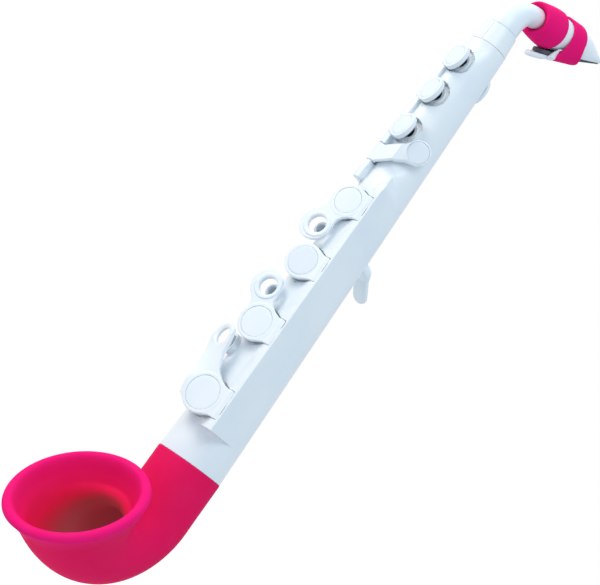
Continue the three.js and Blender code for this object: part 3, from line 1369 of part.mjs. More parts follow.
function band() {
  const rings = (offset, before, after) => [
    bandRing(BAND_START - before, BAND_START_SKEW, 0, offset),
    bandRing(CLIP_END, 0, 0, offset),
    bandRing(BAND_END + after, 0, BAND_END_BULGE, offset),
  ];
  return cut(solid(loft(rings(BAND_WALL, 0, 0))), [loft(rings(0, OVERCUT, BAND_END_CUT))]);
}

addMesh(mouthGroup, 'reed_band', band(), PINK);

// The flat of the thumb hook is the origin
instrument.position.set(0, -(HOOK_BASE_FACE + HOOK_FLAT / 2), -HOOK_HEIGHT);
const part = new THREE.Group();
part.add(instrument);

export default part;
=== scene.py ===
"""Looks of a small moulded plastic saxophone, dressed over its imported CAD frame.

Pieces are shaped in millimetres in the tube's own frame: Z runs up the tube from the seam with the bell,
-Y is the front with the keys and +X is the player's left. A moulded piece is a form of signed distance, so
that hubs, webs and rails run into each other with real fillets, and a net is laid over the form. Plain round
pieces are joined from rings of points.
"""

import json
import logging
import math
from dataclasses import dataclass, field
from enum import Enum
from typing import Callable, Sequence

import bmesh
import bpy
import numpy as np
from mathutils import Matrix, Vector

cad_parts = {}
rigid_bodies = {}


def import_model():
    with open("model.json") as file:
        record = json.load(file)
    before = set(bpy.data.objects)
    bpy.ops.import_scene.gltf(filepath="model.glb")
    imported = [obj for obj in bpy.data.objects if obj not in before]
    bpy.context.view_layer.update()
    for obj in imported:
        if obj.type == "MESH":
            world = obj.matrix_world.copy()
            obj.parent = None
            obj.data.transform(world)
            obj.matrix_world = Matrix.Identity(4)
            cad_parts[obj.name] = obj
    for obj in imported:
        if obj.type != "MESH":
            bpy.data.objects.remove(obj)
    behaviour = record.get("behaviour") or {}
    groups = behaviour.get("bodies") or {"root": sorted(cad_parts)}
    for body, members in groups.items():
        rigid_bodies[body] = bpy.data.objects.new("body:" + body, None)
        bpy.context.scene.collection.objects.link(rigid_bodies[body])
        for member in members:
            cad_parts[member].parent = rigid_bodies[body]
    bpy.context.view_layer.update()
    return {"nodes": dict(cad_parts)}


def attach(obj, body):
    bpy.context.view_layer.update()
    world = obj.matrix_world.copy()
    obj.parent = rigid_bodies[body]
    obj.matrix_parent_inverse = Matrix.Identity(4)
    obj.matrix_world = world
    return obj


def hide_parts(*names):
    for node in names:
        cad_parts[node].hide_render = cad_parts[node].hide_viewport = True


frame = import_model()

LOG = logging.getLogger("saxophone")

# Sizes that several pieces share, in millimetres

PER_METRE = 1000
GAP = 0.3
PAD_GAP = 0.15
PLATE = 2.6
INLAY_DEPTH = 0.9
INLAY_GAP = 0.1
INLAY_EDGE = 0.12
HUB_CORNER = 2.0
HUB_SWEEP = 3.75
HUB_EDGE = 0.35
HUB_ROOM = 4.2
HUB_ROOM_TOP = 12.6
SKIRT = 0.6
SKIRT_WALL = 1.3
SWING = 0.7
ROD_RADIUS = 1.0
SPRING_RADIUS = 1.6
SPRING_WIRE = 0.3
SPRING_ROOM = 3.6
FAR = 100.0

Array = np.ndarray
Field = Callable[[Array, Array, Array], Array]
Plan = Callable[[Array, Array], Array]
Point = tuple[float, float, float]


# Distances

def round_max(a: Array, b: Array, radius: float | Array) -> Array:
    """Distance of what two forms share, with the edge where they meet rounded.

    Args:
        a: Distance to the first form.
        b: Distance to the second form.
        radius: Radius of the rounded edge, 0 for a sharp one, or a radius for each point.

    Returns:
        The distance to the shared part.
    """
    if np.ndim(radius) == 0 and radius <= 0:
        return np.maximum(a, b)
    corner = np.hypot(np.maximum(a + radius, 0), np.maximum(b + radius, 0))
    return np.minimum(np.maximum(a, b), -radius) + corner


def round_min(a: Array, b: Array, radius: float | Array) -> Array:
    """Distance of two joined forms with a fillet of that radius between them."""
    return -round_max(-a, -b, radius)


def smooth_step(share: Array) -> Array:
    """Eases a share from 0 to 1 with flat ends."""
    held = np.clip(share, 0, 1)
    return held * held * (3 - 2 * held)


class Form:
    """A solid given by its signed distance in millimetres, negative inside."""

    def __init__(self, distance: Field, low: float = -math.inf, high: float = math.inf) -> None:
        """Keeps the distance and the heights between which it matters.

        Args:
            distance: Signed distance as a function of three coordinates.
            low: Lowest height.
            high: Highest height.
        """
        self.distance = distance
        self.low = low
        self.high = high

    def join(self, other: "Form", fillet: float = 0.0) -> "Form":
        """This form and another as one, with a fillet between them."""
        return Form(lambda x, y, z: round_min(self.distance(x, y, z), other.distance(x, y, z), fillet))

    def cut(self, other: "Form", edge: float = 0.0) -> "Form":
        """This form without another, with a rounded edge at the cut."""
        return Form(lambda x, y, z: round_max(self.distance(x, y, z), -other.distance(x, y, z), edge))

    def common(self, other: "Form", edge: float = 0.0) -> "Form":
        """What this form shares with another."""
        return Form(lambda x, y, z: round_max(self.distance(x, y, z), other.distance(x, y, z), edge))

    def at(self, place: "Place") -> "Form":
        """This form moved from a place's own frame to the frame around it."""
        return Form(lambda x, y, z: self.distance(*place.inward(x, y, z)))

    def between(self, low: float, high: float) -> "Form":
        """This form marked with the heights between which it matters."""
        return Form(self.distance, low, high)


class Action(Enum):
    """How a step of a moulding treats its form."""

    JOIN = "join"
    CUT = "cut"


class Moulding(Form):
    """A long form made in steps, each worked out only at the heights where it matters."""

    def __init__(self, start: Form) -> None:
        """Begins with one form.

        Args:
            start: The form.
        """
        super().__init__(self._distance)
        self.start = start
        self.steps: list[tuple[Action, Form, float | Field]] = []

    def add(self, form: Form, fillet: float | Field = 0.0) -> None:
        """Joins a form to the moulding with a fillet, of one radius or of a radius for each point."""
        self.steps.append((Action.JOIN, form, fillet))

    def remove(self, form: Form, edge: float = 0.0) -> None:
        """Cuts a form out of the moulding."""
        self.steps.append((Action.CUT, form, edge))

    def _distance(self, x: Array, y: Array, z: Array) -> Array:
        """Distance to the moulding after all its steps.

        Args:
            x, y, z: The points.

        Returns:
            Their distances.
        """
        low, high = float(z.min()), float(z.max())
        value = self.start.distance(x, y, z)
        for action, form, size in self.steps:
            if form.high < low or form.low > high:
                continue
            other = form.distance(x, y, z)
            radius = size(x, y, z) if callable(size) else size
            if action is Action.JOIN:
                value = round_min(value, other, radius)
            else:
                value = round_max(value, -other, radius)
        return value


@dataclass(frozen=True)
class Place:
    """A frame in another frame: three axes as columns, and an origin."""

    axes: Array
    origin: Array

    @staticmethod
    def of(x: Sequence[float], y: Sequence[float], z: Sequence[float], origin: Sequence[float]) -> "Place":
        """A place from its three axes and its origin."""
        return Place(np.array([x, y, z], float).T, np.array(origin, float))

    @staticmethod
    def turned(degrees: float, origin: Sequence[float] = (0, 0, 0)) -> "Place":
        """A place turned about its third axis."""
        c, s = math.cos(math.radians(degrees)), math.sin(math.radians(degrees))
        return Place.of((c, s, 0), (-s, c, 0), (0, 0, 1), origin)

    def inward(self, x: Array, y: Array, z: Array) -> tuple[Array, Array, Array]:
        """Coordinates in this place of points given in the frame around it.

        Args:
            x, y, z: The points.

        Returns:
            The three coordinates here.
        """
        a, o = self.axes, self.origin
        dx, dy, dz = x - o[0], y - o[1], z - o[2]
        return tuple(dx * a[0, k] + dy * a[1, k] + dz * a[2, k] for k in range(3))

    def outward(self, points: Array) -> Array:
        """Points of this place in the frame around it."""
        return points @ self.axes.T + self.origin

    def then(self, inner: "Place") -> "Place":
        """A place given inside this one, in the frame around this one."""
        return Place(self.axes @ inner.axes, self.outward(inner.origin[None])[0])


# Plain forms. A drum stands along the second axis and a shaft along the third.

def block(low: Point, high: Point, edge: float = 0.0) -> Form:
    """A box between two corners.

    Args:
        low: Lowest corner.
        high: Highest corner.
        edge: Radius of its edges.

    Returns:
        The form.
    """
    middle = [(a + b) / 2 for a, b in zip(low, high)]
    half = [(b - a) / 2 for a, b in zip(low, high)]

    def distance(x: Array, y: Array, z: Array) -> Array:
        """Distance to the box."""
        sides = [np.abs(c - m) - h for c, m, h in zip((x, y, z), middle, half)]
        return round_max(round_max(sides[0], sides[1], edge), sides[2], edge)

    return Form(distance)


def plate(outline: Plan, low: float, high: float, edge: float = 0.0) -> Form:
    """An outline in the first and third axis, drawn up along the second."""
    middle, half = (low + high) / 2, (high - low) / 2
    return Form(lambda x, y, z: round_max(outline(x, z), np.abs(y - middle) - half, edge))


def drum(radius: float, low: float, high: float, edge: float = 0.0,
         spot: tuple[float, float] = (0, 0)) -> Form:
    """A round plate about a spot."""
    return plate(lambda x, z: np.hypot(x - spot[0], z - spot[1]) - radius, low, high, edge)


def shaft(radius: float, low: float, high: float, edge: float = 0.0) -> Form:
    """A round bar along the third axis."""
    middle, half = (low + high) / 2, (high - low) / 2
    return Form(lambda x, y, z: round_max(np.hypot(x, y) - radius, np.abs(z - middle) - half, edge))


def cone(low_radius: float, high_radius: float, low: float, high: float, edge: float = 0.0) -> Form:
    """A round taper along the third axis.

    Args:
        low_radius: Radius at its lower end.
        high_radius: Radius at its upper end.
        low: Its lower end.
        high: Its upper end.
        edge: Radius of its rims.

    Returns:
        The form.
    """
    slope = (high_radius - low_radius) / (high - low)
    middle, half = (low + high) / 2, (high - low) / 2

    def distance(x: Array, y: Array, z: Array) -> Array:
        """Distance to the taper."""
        side = (np.hypot(x, y) - low_radius - slope * (z - low)) / math.hypot(1, slope)
        return round_max(side, np.abs(z - middle) - half, edge)

    return Form(distance)


def polygon(points: Sequence[tuple[float, float]]) -> Plan:
    """Signed distance to a closed outline in a plane.

    Args:
        points: Its corners in order.

    Returns:
        The distance as a function of two coordinates.
    """
    corners = np.array(points, float)

    def distance(u: Array, v: Array) -> Array:
        """Distance to the outline.

        Args:
            u, v: The points.

        Returns:
            Their distances.
        """
        best = np.full(np.broadcast(u, v).shape, 1e9)
        inside = np.zeros(best.shape, bool)
        for a, b in zip(corners, np.roll(corners, -1, axis=0)):
            run = b - a
            du, dv = u - a[0], v - a[1]
            share = np.clip((du * run[0] + dv * run[1]) / (run @ run), 0, 1)
            best = np.minimum(best, (du - run[0] * share) ** 2 + (dv - run[1] * share) ** 2)
            crosses = (v >= a[1]) != (v >= b[1])
            if run[1]:
                inside ^= crosses & (du < run[0] * dv / run[1])
        return np.where(inside, -1, 1) * np.sqrt(best)

    return distance


# Nets over forms

SLAB = 24
LEAST_SLOPE = 0.05
TINY = 1e-9
MERGE = 1e-7


@dataclass
class Net:
    """Points, faces and normals of a surface."""

    points: Array
    faces: Array
    normals: Array | None = None
    marks: dict[str, Array] = field(default_factory=dict)
    poles: bool = False

    def moved(self, place: Place) -> "Net":
        """The net in the frame around a place."""
        normals = None if self.normals is None else self.normals @ place.axes.T
        return Net(place.outward(self.points), self.faces, normals, self.marks, self.poles)


def slope_of(form: Form, points: Array, reach: float = 0.04) -> Array:
    """Gradient of a form's distance at some points.

    Args:
        form: The form.
        points: The points.
        reach: How far to each side it is measured.

    Returns:
        A gradient for each point.
    """
    x, y, z = points.T
    pairs = []
    for k in range(3):
        ahead, behind = [x, y, z], [x, y, z]
        ahead[k], behind[k] = ahead[k] + reach, behind[k] - reach
        pairs.append((form.distance(*ahead) - form.distance(*behind)) / (2 * reach))
    return np.stack(pairs, axis=1)


def in_batches(points: Array, work: Callable[[Array], Array], size: int = 6000) -> Array:
    """Works on points in batches of like height, so that a moulding can leave out far steps.

    Args:
        points: The points.
        work: What is done with a batch.
        size: Points in a batch.

    Returns:
        The results, in the order of the points.
    """
    order = np.argsort(points[:, 2], kind="stable")
    parts = [work(points[order[k:k + size]]) for k in range(0, len(order), size)]
    result = np.empty((len(points),) + parts[0].shape[1:])
    result[order] = np.concatenate(parts)
    return result


def normals_of(form: Form, points: Array) -> Array:
    """The form's own normals at points on its surface."""
    slopes = in_batches(points, lambda batch: slope_of(form, batch))
    return slopes / np.maximum(np.linalg.norm(slopes, axis=1, keepdims=True), TINY)


def skin(form: Form, low: Point, high: Point, step: float, tall: float = 1.0) -> Net:
    """Lays a net of four-sided faces over a form and draws its points onto the surface.

    Args:
        form: The form.
        low: Lowest corner of the box that holds it.
        high: Highest corner of that box.
        step: Width of a mesh of the net.
        tall: How many times taller than wide a mesh is.

    Returns:
        The net, with the form's own normals.
    """
    sizes = np.array([step, step, step * tall])
    axes = [np.arange(a - 2 * s, b + 2.5 * s, s) for a, b, s in zip(low, high, sizes)]
    layers = []
    for k in range(0, len(axes[2]), SLAB):
        x, y, z = np.meshgrid(axes[0], axes[1], axes[2][k:k + SLAB], indexing="ij")
        layers.append(form.distance(x, y, z).astype(np.float32))
    value = np.concatenate(layers, axis=2)
    inside = value < 0
    shape = tuple(n - 1 for n in value.shape)
    cells, spots, rims = [], [], []
    for axis in range(3):
        first = tuple(slice(None, -1) if k == axis else slice(None) for k in range(3))
        second = tuple(slice(1, None) if k == axis else slice(None) for k in range(3))
        where = np.argwhere(inside[first] != inside[second])
        before = value[first][tuple(where.T)]
        after = value[second][tuple(where.T)]
        spot = where.astype(float)
        spot[:, axis] += before / (before - after)
        one, two = (axis + 1) % 3, (axis + 2) % 3
        around = []
        for a, b in ((0, 0), (-1, 0), (-1, -1), (0, -1)):
            cell = where.copy()
            cell[:, one] += a
            cell[:, two] += b
            around.append(np.ravel_multi_index(tuple(cell.T), shape))
            cells.append(around[-1])
            spots.append(spot)
        ring = np.stack(around, axis=1)
        ring[before > 0] = ring[before > 0][:, ::-1]
        rims.append(ring)
    used, inverse = np.unique(np.concatenate(cells), return_inverse=True)
    count = np.bincount(inverse)
    every = np.concatenate(spots)
    mean = np.stack([np.bincount(inverse, weights=every[:, k]) / count for k in range(3)], axis=1)
    points = mean * sizes + np.array([a[0] for a in axes])
    faces = np.searchsorted(used, np.concatenate(rims))

    def drawn(batch: Array) -> Array:
        """Moves points down the slope onto the surface.

        Args:
            batch: The points.

        Returns:
            The moved points.
        """
        for _ in range(3):
            slope = slope_of(form, batch)
            size = np.maximum((slope ** 2).sum(axis=1), LEAST_SLOPE)
            move = np.clip(form.distance(*batch.T) / size, -0.5 * step, 0.5 * step)
            batch = batch - slope * move[:, None]
        return batch

    points = in_batches(points, drawn)
    return Net(points, faces, normals_of(form, points))


def thinned(net: Net, form: Form, share: float) -> Net:
    """Joins the flattest faces of a net over a form.

    Args:
        net: The net.
        form: The form that it lies on.
        share: Share of its triangles that is kept.

    Returns:
        The net with fewer, three-sided faces and the form's own normals.
    """
    mesh = bpy.data.meshes.new("thinning")
    mesh.from_pydata(net.points.tolist(), [], net.faces.tolist())
    made = bpy.data.objects.new("thinning", mesh)
    bpy.context.scene.collection.objects.link(made)
    thinner = made.modifiers.new("thinner", "DECIMATE")
    thinner.ratio, thinner.use_collapse_triangulate = share, True
    fewer = bpy.data.meshes.new_from_object(made.evaluated_get(bpy.context.evaluated_depsgraph_get()))
    points = np.empty(3 * len(fewer.vertices))
    fewer.vertices.foreach_get("co", points)
    faces = np.empty(3 * len(fewer.polygons), int)
    fewer.polygons.foreach_get("vertices", faces)
    for data, owner in ((made, bpy.data.objects), (mesh, bpy.data.meshes), (fewer, bpy.data.meshes)):
        owner.remove(data)
    points = points.reshape(-1, 3)
    return Net(points, faces.reshape(-1, 3), normals_of(form, points))


def loft(rings: Sequence[Array], closed: bool = True) -> Net:
    """Joins rings of points with faces.

    Args:
        rings: Rings of equally many points, in order.
        closed: Whether the last ring meets the first.

    Returns:
        The net.
    """
    count, sides = len(rings), len(rings[0])
    rows = np.arange(count if closed else count - 1)[:, None]
    columns = np.arange(sides)[None, :]
    after, beside = (rows + 1) % count, (columns + 1) % sides
    corners = [rows * sides + columns, rows * sides + beside, after * sides + beside, after * sides + columns]
    return Net(np.concatenate(rings), np.stack(corners, axis=-1).reshape(-1, 4))


def turned(profile: Sequence[tuple[float, float]], sides: int = 72, closed: bool = True) -> Net:
    """Turns a profile of radius and height about the third axis.

    Args:
        profile: Radius and height of each ring.
        sides: Points around it.
        closed: Whether the last ring meets the first.

    Returns:
        The net.
    """
    angles = np.linspace(0, 2 * math.pi, sides, endpoint=False)
    circle = np.stack([np.cos(angles), np.sin(angles), np.zeros(sides)], axis=1)
    return loft([circle * r + np.array([0, 0, h]) for r, h in profile], closed)


def round_ring(middle: Array, radius: float, across: Point, sides: int) -> Array:
    """A round of points in the plane of the first axis and another direction."""
    around = np.linspace(0, 2 * math.pi, sides, endpoint=False)[:, None]
    return middle + radius * (np.cos(around) * np.array([1.0, 0, 0]) + np.sin(around) * np.array(across))


# Shared sizes

@dataclass(frozen=True)
class TubeShape:
    """The tapered tube that the other pieces are measured from."""

    length: float = 318.0
    low_radius: float = 22.0
    top_radius: float = 12.6
    bore_low: float = 17.6
    bore_top: float = 7.4
    tenon: float = 19.6
    tenon_length: float = 18.0
    hook_flat: Point = (0.0, 23.76782, 158.0142)

    @property
    def taper(self) -> float:
        """How much the radius falls for each millimetre of height."""
        return (self.low_radius - self.top_radius) / self.length

    def radius(self, height: Array | float) -> Array | float:
        """Outer radius at a height."""
        return self.low_radius - self.taper * height

    def bore(self, height: Array | float) -> Array | float:
        """Inner radius at a height."""
        return self.bore_low + (self.bore_top - self.bore_low) * height / self.length


TUBE = TubeShape()


class Side(Enum):
    """Hand that plays the keys of a rail, as the sign of X where the rail runs."""

    LEFT = -1
    RIGHT = 1


@dataclass(frozen=True)
class Rail:
    """One key rail and what all keys on it share."""

    side: Side
    inset: float
    rise: float
    hub_radius: float
    plate_top: float
    recess: float
    open_degrees: float
    pad_depth: float
    hole_inset: float
    rod: tuple[float, float]

    def hinge(self, height: float) -> Place:
        """Frame on the rod at a height: across the tube, outward to the front, along the rod.

        Args:
            height: The height.

        Returns:
            The frame, in the tube's frame.
        """
        sign, k = self.side.value, TUBE.taper
        along = np.array([-sign * k, k, 1.0]) * sign / math.sqrt(1 + 2 * k * k)
        across = np.array([-sign, 0.0, -k]) / math.hypot(1, k)
        radius = TUBE.radius(height)
        origin = (sign * (radius - self.inset), -(radius + self.rise), height)
        return Place.of(across, np.cross(along, across), along, origin)


LEFT_RAIL = Rail(
    Side.LEFT, inset=5.6, rise=1.0, hub_radius=3.0, plate_top=3.6, recess=0.9, open_degrees=18.0,
    pad_depth=1.2, hole_inset=3.6, rod=(-306.1, -203.5),
)
RIGHT_RAIL = Rail(
    Side.RIGHT, inset=4.6, rise=2.6, hub_radius=2.9, plate_top=2.9, recess=1.0, open_degrees=11.0,
    pad_depth=2.0, hole_inset=2.6, rod=(23.2, 200.3),
)


# Shader sheets

class Signal:
    """A socket of a node tree, on which Python's operators add Math nodes."""

    def __init__(self, sheet: "NodeSheet", socket: bpy.types.NodeSocket) -> None:
        """Wraps an output socket."""
        self.sheet = sheet
        self.socket = socket

    def _math(self, operation: str, first: "Signal | float", second: "Signal | float") -> "Signal":
        """Adds one Math node."""
        return self.sheet.node("ShaderNodeMath", {"operation": operation}, {0: first, 1: second})

    def __add__(self, other: "Signal | float") -> "Signal":
        """Sum."""
        return self._math("ADD", self, other)

    def __radd__(self, other: float) -> "Signal":
        """Sum with a number first."""
        return self._math("ADD", other, self)

    def __sub__(self, other: "Signal | float") -> "Signal":
        """Difference."""
        return self._math("SUBTRACT", self, other)

    def __rsub__(self, other: float) -> "Signal":
        """Difference with a number first."""
        return self._math("SUBTRACT", other, self)

    def __mul__(self, other: "Signal | float") -> "Signal":
        """Product."""
        return self._math("MULTIPLY", self, other)

    def __rmul__(self, other: float) -> "Signal":
        """Product with a number first."""
        return self._math("MULTIPLY", other, self)

    def __gt__(self, other: float) -> "Signal":
        """1 where the value is above a number, else 0."""
        return self._math("GREATER_THAN", self, other)


Colour = Signal | Sequence[float]


class NodeSheet:
    """The node tree of one material or world."""

    def __init__(self, owner: bpy.types.Material | bpy.types.World) -> None:
        """Empties the owner's tree.

        Args:
            owner: The material or world.
        """
        owner.use_nodes = True
        self.owner = owner
        self.tree = owner.node_tree
        self.tree.nodes.clear()

    def node(self, kind: str, settings: dict | None = None, inputs: dict | None = None,
             output: int | str = 0) -> Signal | None:
        """Adds a node.

        Args:
            kind: Blender's name for the node type.
            settings: Its settings, set first; "stops" gives a colour ramp's places and colours.
            inputs: Values or signals for its sockets, by name or number.
            output: Which output to hand back.

        Returns:
            That output, or nothing for a node without one.
        """
        made = self.tree.nodes.new(kind)
        for word, value in (settings or {}).items():
            if word == "stops":
                ramp = made.color_ramp.elements
                while len(ramp) < len(value):
                    ramp.new(0.5)
                for stop, (spot, colour) in zip(ramp, value):
                    stop.position, stop.color = spot, colour
            else:
                setattr(made, word, value)
        for word, value in (inputs or {}).items():
            if isinstance(value, Signal):
                self.tree.links.new(value.socket, made.inputs[word])
            else:
                made.inputs[word].default_value = value
        return Signal(self, made.outputs[output]) if len(made.outputs) else None

    def seen(self) -> Signal:
        """1 for what the camera sees, straight, mirrored or through something clear, else 0.

        Returns:
            The signal.
        """
        kinds = ("Is Camera Ray", "Is Glossy Ray", "Is Transmission Ray")
        straight, mirrored, clear = (self.node("ShaderNodeLightPath", output=kind) for kind in kinds)
        return (straight + mirrored + clear) > 0.5

    def place(self) -> Signal:
        """Coordinates on the piece, in metres."""
        return self.node("ShaderNodeTexCoord", output="Object")

    def noise(self, scale: float, detail: float = 2.0, stretch: Point | None = None) -> Signal:
        """Cloudy variation between 0 and 1 with a number of clouds for each metre.

        Args:
            scale: Clouds for each metre.
            detail: How many finer layers it has.
            stretch: Factors for the three coordinates, below 1 to draw the clouds out.

        Returns:
            The variation.
        """
        where = self.place()
        if stretch:
            where = self.node("ShaderNodeVectorMath", {"operation": "MULTIPLY"}, {0: where, 1: stretch})
        inputs = {"Vector": where, "Scale": scale, "Detail": detail}
        return self.node("ShaderNodeTexNoise", None, inputs)

    def spread(self, value: Signal, low: float, high: float) -> Signal:
        """Eases a value to 0 below one bound and to 1 above the other."""
        return self.node("ShaderNodeMapRange", {"interpolation_type": "SMOOTHSTEP"},
                         {"Value": value, "From Min": low, "From Max": high})

    def mix(self, share: Signal, first: Colour, second: Colour) -> Signal:
        """Mixes two colours by a share."""
        return self.node("ShaderNodeMix", {"data_type": "RGBA"}, {0: share, 6: first, 7: second}, output=2)

    def bump(self, height: Signal, strength: float, depth: float) -> Signal:
        """Normal bent by a height, of a depth in metres."""
        return self.node("ShaderNodeBump", None, {"Height": height, "Strength": strength, "Distance": depth})

    def principled(self, inputs: dict) -> None:
        """Ends the sheet in a Principled surface with these sockets."""
        surface = self.node("ShaderNodeBsdfPrincipled", None, inputs)
        self.node("ShaderNodeOutputMaterial", None, {"Surface": surface})


def linear(red: int, green: int, blue: int) -> tuple[float, float, float, float]:
    """A screen colour of 0 to 255 as the linear colour that shaders use."""
    parts = [c / 255 for c in (red, green, blue)]
    return tuple(c / 12.92 if c <= 0.04045 else ((c + 0.055) / 1.055) ** 2.4 for c in parts) + (1.0,)


class Finish:
    """A surface finish that makes its material once."""

    name: str

    def material(self) -> bpy.types.Material:
        """The finish's material, made at its first use.

        Returns:
            The material.
        """
        known = bpy.data.materials.get(self.name)
        if known:
            return known
        made = bpy.data.materials.new(self.name)
        self.lay(NodeSheet(made))
        return made

    def lay(self, sheet: NodeSheet) -> None:
        """Draws the finish on an empty sheet."""
        raise NotImplementedError


@dataclass(frozen=True)
class MouldedPlastic(Finish):
    """White plastic with a cool cast, faint flow marks and the fine grain of the mould."""

    name: str = "moulded_white_plastic"
    colour: tuple = linear(235, 242, 248)
    flow: tuple = linear(228, 238, 247)
    roughness: float = 0.29
    clouds: float = 26.0
    scuffs: float = 420.0
    grains: float = 1900.0
    grain: float = 0.035

    def lay(self, sheet: NodeSheet) -> None:
        """Draws the plastic on an empty sheet.

        Args:
            sheet: The sheet.
        """
        cloud = sheet.noise(self.clouds, 3.0)
        fine = sheet.noise(self.grains, 2.0)
        scuff = sheet.spread(sheet.noise(self.scuffs, 4.0, (1.0, 1.0, 0.35)), 0.62, 0.74)
        sheet.principled({
            "Base Color": sheet.mix(sheet.spread(cloud, 0.35, 0.7), self.colour, self.flow),
            "Roughness": self.roughness + 0.08 * cloud + 0.06 * scuff,
            "Normal": sheet.bump(fine, self.grain, 0.0002),
            "IOR": 1.5,
        })


@dataclass(frozen=True)
class PolishedDisc(Finish):
    """The glossy disc, with fine polishing streaks that vary its roughness and bump and are painted lighter
    as streaked reflections.
    """

    name: str = "polished_white_disc"
    colour: tuple = linear(224, 233, 243)
    # Painted reflection: the lighter colour of the streaks.
    reflection_streak: tuple = linear(229, 237, 246)
    streaks: float = 260.0

    def lay(self, sheet: NodeSheet) -> None:
        """Draws the disc's surface on an empty sheet.

        Args:
            sheet: The sheet.
        """
        # Lighter streaks in the base colour paint streaked reflections; the same streaks vary roughness and
        # bump as polishing marks.
        lines = sheet.noise(self.streaks, 2.0, (1.0, 1.0, 0.06))
        sheet.principled({
            "Base Color": sheet.mix(lines, self.colour, self.reflection_streak),
            "Roughness": 0.05 + 0.1 * lines,
            "Normal": sheet.bump(lines, 0.05, 0.0001),
            "Coat Roughness": 0.04,
            "Coat Weight": 0.5,
        })


@dataclass(frozen=True)
class Silicone(Finish):
    """Matt pink silicone, with a painted highlight on the bell's rolled lip and painted shade and a painted
    glow deep in the bell.
    """

    name: str = "matt_pink_silicone"
    colour: tuple = linear(236, 26, 94)
    # Painted highlight: the lighter, more magenta pink of the bell's rolled lip.
    bright: tuple = linear(243, 24, 120)
    # Painted shading of the bell's inside: the wall's redder pink, then a darker, browner throat.
    wall: tuple = linear(232, 32, 76)
    deep: tuple = linear(150, 74, 78)
    # Painted glow: a dark red emission deep in the bell that stands in for light through the silicone wall.
    through: tuple = linear(94, 30, 36)
    bloom: tuple = linear(244, 90, 150)
    clouds: float = 60.0
    grains: float = 1500.0

    def lay(self, sheet: NodeSheet) -> None:
        """Draws the silicone on an empty sheet.

        Args:
            sheet: The sheet.
        """
        lip = sheet.node("ShaderNodeAttribute", {"attribute_name": "lip"}, output="Fac")
        depth = sheet.node("ShaderNodeAttribute", {"attribute_name": "depth"}, output="Fac")
        cloud = sheet.noise(self.clouds, 3.0)
        fine = sheet.noise(self.grains, 3.0)
        # The lip mark paints a highlight: brighter pink on the bell's rolled lip.
        body = sheet.mix(lip, self.colour, self.bright)
        # The depth mark paints the inside's shade: redder along the wall, darker and browner towards the
        # throat.
        body = sheet.mix(sheet.spread(depth, 0.0, 0.5), body, self.wall)
        body = sheet.mix(sheet.spread(depth, 0.3, 0.9), body, self.deep)
        sheet.principled({
            "Base Color": sheet.mix(0.05 * sheet.spread(cloud, 0.3, 0.8), body, self.bloom),
            "Roughness": 0.55 + 0.14 * cloud,
            "Normal": sheet.bump(fine, 0.06, 0.0003),
            "Specular IOR Level": 0.02,
            # Painted glow of light through the wall, rising towards the throat.
            "Emission Color": sheet.mix(sheet.spread(depth, 0.45, 1.0), (0, 0, 0, 1), self.through),
            "Emission Strength": 1.0,
        })


@dataclass(frozen=True)
class PadRubber(Finish):
    """Dark grey pad rubber with a dry, speckled face."""

    name: str = "grey_pad_rubber"
    colour: tuple = linear(72, 76, 84)
    speck: tuple = linear(104, 108, 116)
    specks: float = 1400.0

    def lay(self, sheet: NodeSheet) -> None:
        """Draws the rubber on an empty sheet.

        Args:
            sheet: The sheet.
        """
        speck = sheet.spread(sheet.noise(self.specks, 2.0), 0.55, 0.7)
        sheet.principled({
            "Base Color": sheet.mix(speck, self.colour, self.speck),
            "Roughness": 0.72 + 0.14 * speck,
            "Normal": sheet.bump(speck, 0.2, 0.0002),
        })


@dataclass(frozen=True)
class DrawnSteel(Finish):
    """Bright drawn wire and rod with fine lengthwise lines."""

    name: str = "drawn_steel"
    colour: tuple = linear(196, 198, 202)
    dark: tuple = linear(168, 170, 176)
    streaks: float = 2400.0

    def lay(self, sheet: NodeSheet) -> None:
        """Draws the steel on an empty sheet.

        Args:
            sheet: The sheet.
        """
        lines = sheet.noise(self.streaks, 2.0, (1.0, 1.0, 0.08))
        sheet.principled({
            "Base Color": sheet.mix(lines, self.colour, self.dark),
            "Metallic": 1.0,
            "Roughness": 0.22 + 0.16 * lines,
            "Normal": sheet.bump(lines, 0.08, 0.0001),
        })


@dataclass(frozen=True)
class ReedResin(Finish):
    """Charcoal resin with the fine lengthwise fibres of a reed."""

    name: str = "charcoal_reed_resin"
    colour: tuple = linear(62, 66, 80)
    fibre: tuple = linear(80, 84, 98)
    fibres: float = 900.0

    def lay(self, sheet: NodeSheet) -> None:
        """Draws the resin on an empty sheet.

        Args:
            sheet: The sheet.
        """
        fibre = sheet.noise(self.fibres, 3.0, (1.0, 0.08, 0.3))
        sheet.principled({
            "Base Color": sheet.mix(fibre, self.colour, self.fibre),
            "Roughness": 0.42 + 0.2 * fibre,
            "Normal": sheet.bump(fibre, 0.1, 0.0002),
        })


PLASTIC = MouldedPlastic()
GLOSS = PolishedDisc()
SILICONE = Silicone()
RUBBER = PadRubber()
STEEL = DrawnSteel()
RESIN = ReedResin()


